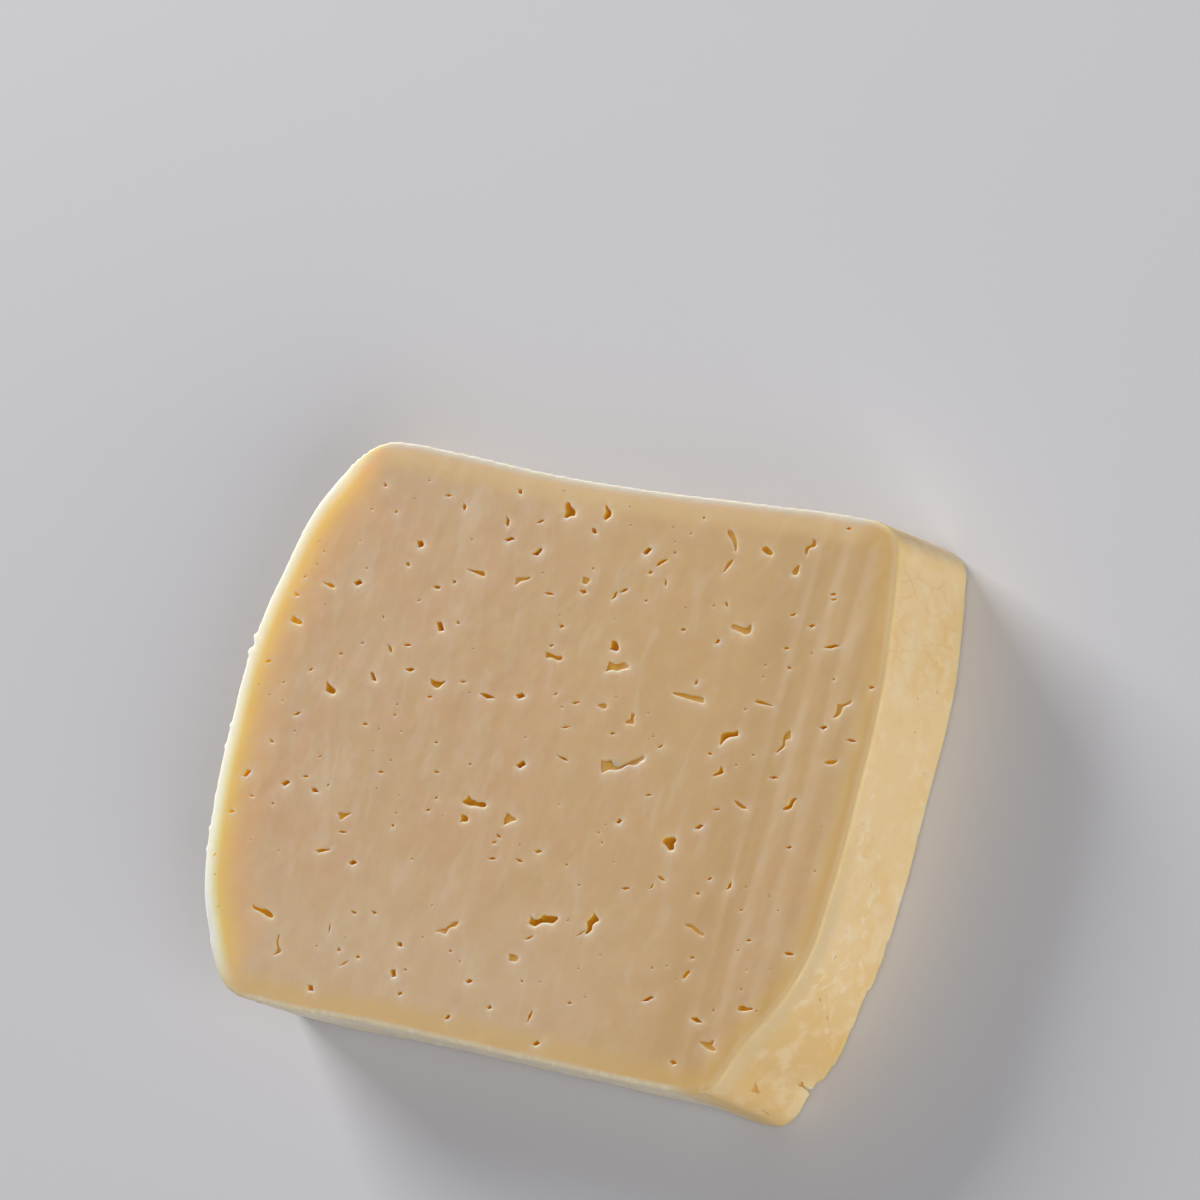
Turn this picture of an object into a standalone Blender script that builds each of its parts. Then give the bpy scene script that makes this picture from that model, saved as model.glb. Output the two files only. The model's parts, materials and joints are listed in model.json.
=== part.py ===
"""Thick slice of a loaf cheese with slit eyes, lying on one cut face with the other cut face up.

The slice is as it was cut: a rounded oblong with two flat rind sides and two bulging ones.
Units are metres and Z is up. The slice's width runs along X, the loaf's height along Y and the
thickness along Z. The origin is under the middle of the slice, on the surface that it lies on.
"""

import math
import random

import bmesh
import bpy
from mathutils import Matrix, Vector

# Overall size of the slice
SLICE_WIDTH = 0.1466
SLICE_HEIGHT = 0.1064
SLICE_THICKNESS = 0.0195
RIM_ROUNDING = 0.0008
OUTLINE_STEPS = 5
WELD_DISTANCE = 0.00001
RIM_ANGLE = math.radians(50)

# The loaf's cross-section, as shares of half the width and half the height
OUTLINE = (
    # Left side, from the top down
    (-0.740, 0.970),
    (-0.806, 0.917),
    (-0.866, 0.814),
    (-0.921, 0.680),
    (-0.958, 0.498),
    (-0.997, 0.231),
    (-1.000, -0.070),
    (-0.975, -0.440),
    (-0.935, -0.669),
    (-0.889, -0.791),
    (-0.818, -0.931),
    # Flat underside of the loaf, from left to right
    (-0.758, -0.988),
    (-0.648, -1.000),
    (-0.288, -0.985),
    (0.236, -0.974),
    (0.653, -0.962),
    (0.744, -0.951),
    # Right side, from the bottom up
    (0.802, -0.918),
    (0.843, -0.805),
    (0.887, -0.711),
    (0.943, -0.586),
    (0.980, -0.453),
    (0.997, -0.179),
    (0.996, 0.096),
    (0.985, 0.468),
    (0.963, 0.656),
    (0.930, 0.865),
    (0.909, 0.951),
    # Flat top of the loaf, from right to left, a little hollow in the middle
    (0.849, 0.994),
    (0.778, 1.000),
    (0.469, 0.987),
    (0.128, 0.968),
    (-0.175, 0.964),
    (-0.542, 0.981),
    (-0.662, 0.983),
)

# Both right corners are fuller at the back cut than at the front cut, the lower one most
FLARE_X = (0.045, 0.058)
LOWER_FLARE = Vector((0.0034, -0.0019, 0.0))
LOWER_FLARE_Y = (-0.026, -0.040)
UPPER_FLARE = Vector((0.0009, 0.0, 0.0))
UPPER_FLARE_Y = (0.010, 0.035)

# Large eyes of the front cut: centre x and y, length, width, tilt in degrees
FRONT_EYES = (
    # Upper left
    (-0.0072, 0.0453, 0.0028, 0.0022, -40),
    (-0.0208, 0.0413, 0.0019, 0.0010, -70),
    (-0.0192, 0.0382, 0.0022, 0.0009, 10),
    (-0.0133, 0.0319, 0.0052, 0.0010, 20),
    (-0.0250, 0.0313, 0.0044, 0.0008, -5),
    (-0.0398, 0.0344, 0.0019, 0.0014, -20),
    (-0.0518, 0.0252, 0.0018, 0.0013, 0),
    (-0.0588, 0.0239, 0.0032, 0.0007, -8),
    (-0.0643, 0.0165, 0.0032, 0.0010, -15),
    (-0.0297, 0.0203, 0.0023, 0.0015, -25),
    (-0.0268, 0.0102, 0.0040, 0.0014, 0),
    (-0.0420, 0.0089, 0.0024, 0.0011, -25),
    (-0.0517, 0.0055, 0.0031, 0.0017, -30),
    (-0.0143, 0.0096, 0.0034, 0.0009, 0),
    (-0.0069, 0.0109, 0.0022, 0.0011, 10),
    (-0.0019, 0.0191, 0.0042, 0.0010, -3),
    # Upper right
    (0.0015, 0.0459, 0.0020, 0.0019, 0),
    (0.0129, 0.0407, 0.0016, 0.0013, 30),
    (0.0169, 0.0396, 0.0029, 0.0010, 40),
    (0.0006, 0.0325, 0.0034, 0.0012, -70),
    (0.0090, 0.0321, 0.0034, 0.0010, 35),
    (0.0111, 0.0229, 0.0023, 0.0014, -25),
    (0.0129, 0.0194, 0.0050, 0.0012, 10),
    (0.0306, 0.0168, 0.0080, 0.0010, -2),
    (0.0311, 0.0464, 0.0028, 0.0011, -35),
    (0.0315, 0.0413, 0.0026, 0.0010, 60),
    (0.0392, 0.0448, 0.0030, 0.0012, -12),
    (0.0485, 0.0471, 0.0032, 0.0016, 20),
    (0.0464, 0.0423, 0.0019, 0.0017, 0),
    (0.0390, 0.0302, 0.0048, 0.0013, -3),
    (0.0590, 0.0301, 0.0032, 0.0008, 15),
    (0.0477, 0.0181, 0.0040, 0.0008, -5),
    (0.0640, 0.0198, 0.0027, 0.0013, 80),
    (0.0419, 0.0117, 0.0039, 0.0013, 18),
    (0.0542, 0.0130, 0.0034, 0.0015, 70),
    (0.0652, 0.0106, 0.0033, 0.0009, 10),
    (0.0590, 0.0021, 0.0032, 0.0013, 40),
    (0.0481, 0.0000, 0.0034, 0.0009, -15),
    (0.0419, 0.0048, 0.0022, 0.0013, 20),
    (0.0169, 0.0019, 0.0032, 0.0021, 0),
    (0.0216, 0.0033, 0.0064, 0.0009, 22),
    # Lower left
    (-0.0025, -0.0011, 0.0020, 0.0015, 0),
    (-0.0110, -0.0092, 0.0056, 0.0011, -2),
    (-0.0122, -0.0125, 0.0022, 0.0012, -20),
    (-0.0019, -0.0110, 0.0030, 0.0016, 20),
    (-0.0658, -0.0131, 0.0019, 0.0015, 30),
    (-0.0559, -0.0134, 0.0019, 0.0011, 15),
    (-0.0404, -0.0165, 0.0042, 0.0012, 12),
    (-0.0425, -0.0239, 0.0036, 0.0009, 12),
    (-0.0089, -0.0325, 0.0049, 0.0011, 32),
    (-0.0184, -0.0425, 0.0017, 0.0014, -20),
    (-0.0532, -0.0368, 0.0060, 0.0010, -8),
    (-0.0471, -0.0425, 0.0032, 0.0010, -60),
    # Lower right
    (0.0352, -0.0092, 0.0028, 0.0022, -10),
    (0.0119, -0.0272, 0.0064, 0.0012, 14),
    (0.0229, -0.0256, 0.0029, 0.0018, 65),
    (0.0076, -0.0349, 0.0028, 0.0012, -5),
    (0.0459, -0.0227, 0.0048, 0.0008, -15),
    (0.0465, -0.0306, 0.0020, 0.0012, 40),
    (0.0609, -0.0341, 0.0036, 0.0010, 2),
    (0.0553, -0.0417, 0.0042, 0.0014, -10),
)

# How an eye sinks in, and how uneven it is
EYE_DEPTH_SHARE = 0.45
EYE_DEPTH_MIN = 0.0008
EYE_DEPTH_MAX = 0.0020
EYE_LIFT = 0.00012
EYE_PINCH = 0.40
EYE_UNEVENNESS = 0.13

# Eyes of the back cut follow a rule instead of a list
BACK_EYE_COUNT = 34
BACK_EYE_LENGTHS = (0.0018, 0.0060)
BACK_EYE_WIDTHS = (0.0009, 0.0016)
BACK_EYE_TILT = 35
BACK_EYE_SPACING = 0.0120
BACK_EYE_EDGE_MARGIN = 0.006
BACK_EYE_REST_CLEARANCE = 0.008
SECTION_SQUARENESS = 5

# Damage of the rind side at the lower right: centre, half the size each way, tilt in degrees
CORNER_NOTCH = (Vector((0.0657, -0.0449, 0.0)), Vector((0.0022, 0.0008, 0.0042)), -31)
RIND_PIT = (Vector((0.0622, -0.0467, 0.0117)), Vector((0.0010, 0.0011, 0.0009)), -19)

# Look of the cheese
CHEESE_COLOUR = (0.76, 0.58, 0.33, 1.0)
CHEESE_ROUGHNESS = 0.45

EYE_SEED = 11
BACK_SEED = 17


def clear_scene():
    """Remove every object, so that the file holds this part alone."""
    for item in list(bpy.data.objects):
        bpy.data.objects.remove(item, do_unlink=True)


def new_collection(name):
    """Make a collection in the scene."""
    collection = bpy.data.collections.new(name)
    bpy.context.scene.collection.children.link(collection)
    return collection


def smooth_step(value, start, end):
    """Go from 0 at start to 1 at end without a kink."""
    share = min(max((value - start) / (end - start), 0.0), 1.0)
    return share * share * (3.0 - 2.0 * share)


def outline_curve():
    """Draw the loaf's cross-section as one closed, filled curve as thick as the slice."""
    curve = bpy.data.curves.new("loaf_section", "CURVE")
    curve.dimensions = "2D"
    curve.fill_mode = "BOTH"
    curve.extrude = SLICE_THICKNESS / 2
    curve.resolution_u = OUTLINE_STEPS
    spline = curve.splines.new("BEZIER")
    spline.bezier_points.add(len(OUTLINE) - 1)
    spline.use_cyclic_u = True
    for point, (share_x, share_y) in zip(spline.bezier_points, OUTLINE):
        point.co = (share_x * SLICE_WIDTH / 2, share_y * SLICE_HEIGHT / 2, 0.0)
        point.handle_left_type = "AUTO"
        point.handle_right_type = "AUTO"
    section = bpy.data.objects.new("loaf_section", curve)
    section.location.z = SLICE_THICKNESS / 2
    bpy.context.scene.collection.objects.link(section)
    return section


def evaluated_mesh(item):
    """Return a new mesh of an object with its modifiers, in the object's own space."""
    bpy.context.view_layer.update()
    depsgraph = bpy.context.evaluated_depsgraph_get()
    return bpy.data.meshes.new_from_object(item.evaluated_get(depsgraph))


def fill_back_corners(shape):
    """Push both right corners out towards the back cut."""
    for vertex in shape.verts:
        back_share = 1.0 - vertex.co.z / SLICE_THICKNESS
        right = smooth_step(vertex.co.x, *FLARE_X)
        lower = smooth_step(vertex.co.y, *LOWER_FLARE_Y)
        upper = smooth_step(vertex.co.y, *UPPER_FLARE_Y)
        vertex.co += (LOWER_FLARE * lower + UPPER_FLARE * upper) * (back_share * right)


def centre_and_fit(shape):
    """Give the outline its exact width and height, centred on the origin."""
    for axis, size in ((0, SLICE_WIDTH), (1, SLICE_HEIGHT)):
        low = min(vertex.co[axis] for vertex in shape.verts)
        high = max(vertex.co[axis] for vertex in shape.verts)
        for vertex in shape.verts:
            vertex.co[axis] = (vertex.co[axis] - (low + high) / 2) * size / (high - low)


def slice_body(collection):
    """Make the bare slice, without eyes, from the extruded outline."""
    section = outline_curve()
    mesh = evaluated_mesh(section)
    mesh.transform(section.matrix_world)
    bpy.data.objects.remove(section, do_unlink=True)
    shape = bmesh.new()
    shape.from_mesh(mesh)
    bmesh.ops.remove_doubles(shape, verts=shape.verts, dist=WELD_DISTANCE)
    fill_back_corners(shape)
    centre_and_fit(shape)
    bmesh.ops.recalc_face_normals(shape, faces=shape.faces)
    shape.to_mesh(mesh)
    shape.free()
    body = bpy.data.objects.new("cheese_slice", mesh)
    collection.objects.link(body)
    rim = body.modifiers.new("rim", "BEVEL")
    rim.width = RIM_ROUNDING
    rim.segments = 2
    rim.limit_method = "ANGLE"
    rim.angle_limit = RIM_ANGLE
    return body


def uneven_ellipsoid(name, centre, half_size, tilt, draw, collection):
    """Make a cutter: an uneven ball, squashed, pinched at both ends and turned about Z."""
    shape = bmesh.new()
    bmesh.ops.create_icosphere(shape, subdivisions=2, radius=1.0)
    for vertex in shape.verts:
        swell = 1.0 + draw.uniform(-EYE_UNEVENNESS, EYE_UNEVENNESS)
        vertex.co.y *= 1.0 - EYE_PINCH * vertex.co.x ** 2
        vertex.co = Vector(swell * part * half for part, half in zip(vertex.co, half_size))
    bmesh.ops.transform(shape, matrix=Matrix.Rotation(math.radians(tilt), 4, "Z"), verts=shape.verts)
    bmesh.ops.translate(shape, vec=centre, verts=shape.verts)
    mesh = bpy.data.meshes.new(name)
    shape.to_mesh(mesh)
    shape.free()
    cutter = bpy.data.objects.new(name, mesh)
    cutter.hide_render = True
    cutter.display_type = "WIRE"
    collection.objects.link(cutter)


def eye_cutter(name, eye, face_height, outward, draw, collection):
    """Sink an eye into the cut face at face_height, whose outward side is +1 or -1 along Z."""
    x, y, length, width, tilt = eye
    depth = min(max(EYE_DEPTH_SHARE * length, EYE_DEPTH_MIN), EYE_DEPTH_MAX)
    centre = Vector((x, y, face_height + outward * EYE_LIFT))
    uneven_ellipsoid(name, centre, (length / 2, width / 2, depth), tilt, draw, collection)


def inside_section(x, y, margin):
    """Tell whether a point is inside the cross-section by at least the margin."""
    reach_x = abs(x) / (SLICE_WIDTH / 2 - margin)
    reach_y = abs(y) / (SLICE_HEIGHT / 2 - margin)
    return reach_x ** SECTION_SQUARENESS + reach_y ** SECTION_SQUARENESS < 1.0


def back_eyes():
    """Spread eyes over the back cut, clear of its edge, of each other and of the middle."""
    draw = random.Random(BACK_SEED)
    eyes = []
    while len(eyes) < BACK_EYE_COUNT:
        x = draw.uniform(-SLICE_WIDTH / 2, SLICE_WIDTH / 2)
        y = draw.uniform(-SLICE_HEIGHT / 2, SLICE_HEIGHT / 2)
        clear_of_others = all(math.hypot(x - eye[0], y - eye[1]) > BACK_EYE_SPACING for eye in eyes)
        clear_of_rest = math.hypot(x, y) > BACK_EYE_REST_CLEARANCE
        if clear_of_others and clear_of_rest and inside_section(x, y, BACK_EYE_EDGE_MARGIN):
            length = draw.triangular(BACK_EYE_LENGTHS[0], BACK_EYE_LENGTHS[1], BACK_EYE_LENGTHS[0])
            width = draw.uniform(*BACK_EYE_WIDTHS)
            eyes.append((x, y, length, width, draw.uniform(-BACK_EYE_TILT, BACK_EYE_TILT)))
    return eyes


def make_cutters(collection):
    """Make every cutter: the eyes of both cuts, the corner's notch and the rind's pit."""
    draw = random.Random(EYE_SEED)
    for number, eye in enumerate(FRONT_EYES):
        eye_cutter(f"front_eye_{number}", eye, SLICE_THICKNESS, 1, draw, collection)
    for number, eye in enumerate(back_eyes()):
        eye_cutter(f"back_eye_{number}", eye, 0.0, -1, draw, collection)
    uneven_ellipsoid("corner_notch", *CORNER_NOTCH, draw, collection)
    uneven_ellipsoid("rind_pit", *RIND_PIT, draw, collection)


def cut_with(body, collection):
    """Cut the collection's shapes out of the body, then remove them."""
    cut = body.modifiers.new("cut", "BOOLEAN")
    cut.operation = "DIFFERENCE"
    cut.operand_type = "COLLECTION"
    cut.collection = collection
    cut.solver = "EXACT"
    mesh = evaluated_mesh(body)
    body.modifiers.clear()
    body.data = mesh
    mesh.name = body.name
    for cutter in list(collection.objects):
        bpy.data.objects.remove(cutter, do_unlink=True)
    bpy.data.collections.remove(collection)


def cheese_material():
    """Pale, waxy cheese."""
    material = bpy.data.materials.new("cheese")
    material.use_nodes = True
    surface = material.node_tree.nodes["Principled BSDF"]
    surface.inputs["Base Color"].default_value = CHEESE_COLOUR
    surface.inputs["Roughness"].default_value = CHEESE_ROUGHNESS
    surface.inputs["Metallic"].default_value = 0.0
    return material


def main():
    """Build the slice."""
    clear_scene()
    parts = new_collection("Cheese slice")
    cutters = new_collection("Cutters")
    body = slice_body(parts)
    make_cutters(cutters)
    cut_with(body, cutters)
    body.data.materials.clear()
    body.data.materials.append(cheese_material())
    body.data.shade_smooth()
    body.data.set_sharp_from_angle(angle=RIM_ANGLE)


main()
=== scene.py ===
"""Looks of a thick slice of loaf cheese that lies on its back cut, seen as in the photograph.

One closed mesh replaces the plain solid: both cut faces, the rind sides, the eyes and the
small damage. Sizes inside the mesh code are millimetres, in the frame's own axes.
"""

import json
import math
import random

import bmesh
import bpy
import numpy as np
from mathutils import Matrix, Vector, noise
from mathutils.geometry import delaunay_2d_cdt, interpolate_bezier
from mathutils.kdtree import KDTree
from typing import NamedTuple

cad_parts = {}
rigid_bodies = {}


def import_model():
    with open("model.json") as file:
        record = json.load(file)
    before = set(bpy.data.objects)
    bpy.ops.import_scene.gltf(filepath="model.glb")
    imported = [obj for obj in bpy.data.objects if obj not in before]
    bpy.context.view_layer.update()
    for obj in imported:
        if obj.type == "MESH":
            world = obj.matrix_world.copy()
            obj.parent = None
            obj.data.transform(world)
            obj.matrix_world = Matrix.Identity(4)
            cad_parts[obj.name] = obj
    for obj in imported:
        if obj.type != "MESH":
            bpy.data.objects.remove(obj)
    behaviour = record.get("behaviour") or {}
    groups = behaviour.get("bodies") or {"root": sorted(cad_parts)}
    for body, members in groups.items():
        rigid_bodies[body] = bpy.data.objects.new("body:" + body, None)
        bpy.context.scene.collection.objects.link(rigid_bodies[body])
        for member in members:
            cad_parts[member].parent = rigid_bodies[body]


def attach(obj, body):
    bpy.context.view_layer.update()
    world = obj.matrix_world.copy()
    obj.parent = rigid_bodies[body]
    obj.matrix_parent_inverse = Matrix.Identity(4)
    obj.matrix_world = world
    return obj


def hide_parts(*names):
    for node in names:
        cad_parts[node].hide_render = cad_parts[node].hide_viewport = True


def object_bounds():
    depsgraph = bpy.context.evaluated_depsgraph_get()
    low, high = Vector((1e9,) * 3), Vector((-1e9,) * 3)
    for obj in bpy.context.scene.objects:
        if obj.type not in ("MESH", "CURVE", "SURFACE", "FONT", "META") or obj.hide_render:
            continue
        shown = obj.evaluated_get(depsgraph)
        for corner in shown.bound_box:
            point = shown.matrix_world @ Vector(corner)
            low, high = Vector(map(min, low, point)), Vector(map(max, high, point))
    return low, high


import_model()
CAD_LOW, CAD_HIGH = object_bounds()

MM = 0.001
HALF_WIDTH = (CAD_HIGH.x - CAD_LOW.x) / 2 / MM
HALF_HEIGHT = (CAD_HIGH.y - CAD_LOW.y) / 2 / MM
THICKNESS = (CAD_HIGH.z - CAD_LOW.z) / MM

# Camera: its place and axes in the slice's frame, and the lens on a 36 mm sensor
CAMERA_PLACE = Vector((0.8667, -0.0917, 1.0275))
CAMERA_RIGHT = Vector((0.74896, 0.26316, -0.60812))
CAMERA_UP = Vector((-0.14342, 0.96038, 0.23896))
CAMERA_LENS = 225.0

# Where the light comes from, in the slice's frame
KEY_DIRECTION = (-0.80, 0.48, 0.28)
FILL_DIRECTION = (0.88, -0.28, 0.38)

# The loaf's cross-section, as shares of half the width and half the height
OUTLINE = (
    # Left side, from the top down
    (-0.740, 0.970),
    (-0.806, 0.917),
    (-0.866, 0.814),
    (-0.921, 0.680),
    (-0.958, 0.498),
    (-0.997, 0.231),
    (-1.000, -0.070),
    (-0.975, -0.440),
    (-0.935, -0.669),
    (-0.889, -0.791),
    (-0.818, -0.931),
    # Flat underside of the loaf, from left to right
    (-0.758, -0.988),
    (-0.648, -1.000),
    (-0.288, -0.985),
    (0.236, -0.974),
    (0.653, -0.962),
    (0.744, -0.951),
    # Right side, from the bottom up
    (0.802, -0.918),
    (0.843, -0.805),
    (0.887, -0.711),
    (0.943, -0.586),
    (0.980, -0.453),
    (0.997, -0.179),
    (0.996, 0.096),
    (0.985, 0.468),
    (0.963, 0.656),
    (0.930, 0.865),
    (0.909, 0.951),
    # Flat top of the loaf, from right to left, a little hollow in the middle
    (0.849, 0.994),
    (0.778, 1.000),
    (0.469, 0.987),
    (0.128, 0.968),
    (-0.175, 0.964),
    (-0.542, 0.981),
    (-0.662, 0.983),
)

# Both right corners are fuller at the back cut than at the front cut, the lower one most
FLARE_X = (45.0, 58.0)
LOWER_FLARE = np.array((3.4, -1.9))
LOWER_FLARE_Y = (-26.0, -40.0)
UPPER_FLARE = np.array((0.9, 0.0))
UPPER_FLARE_Y = (10.0, 35.0)

# Mesh of the slice
LOOP_COUNT = 1120
BEZIER_STEPS = 24
WALL_ROWS = 42
ROUND_STEPS = 5
RING_WIDTH = 0.8
FRONT_GRID = 0.62
BACK_GRID = 0.95
CRISP_RIM = 0.40
SOFT_RIM = 0.7
BACK_RIM = 0.5
FACING_REACH = 28

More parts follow.
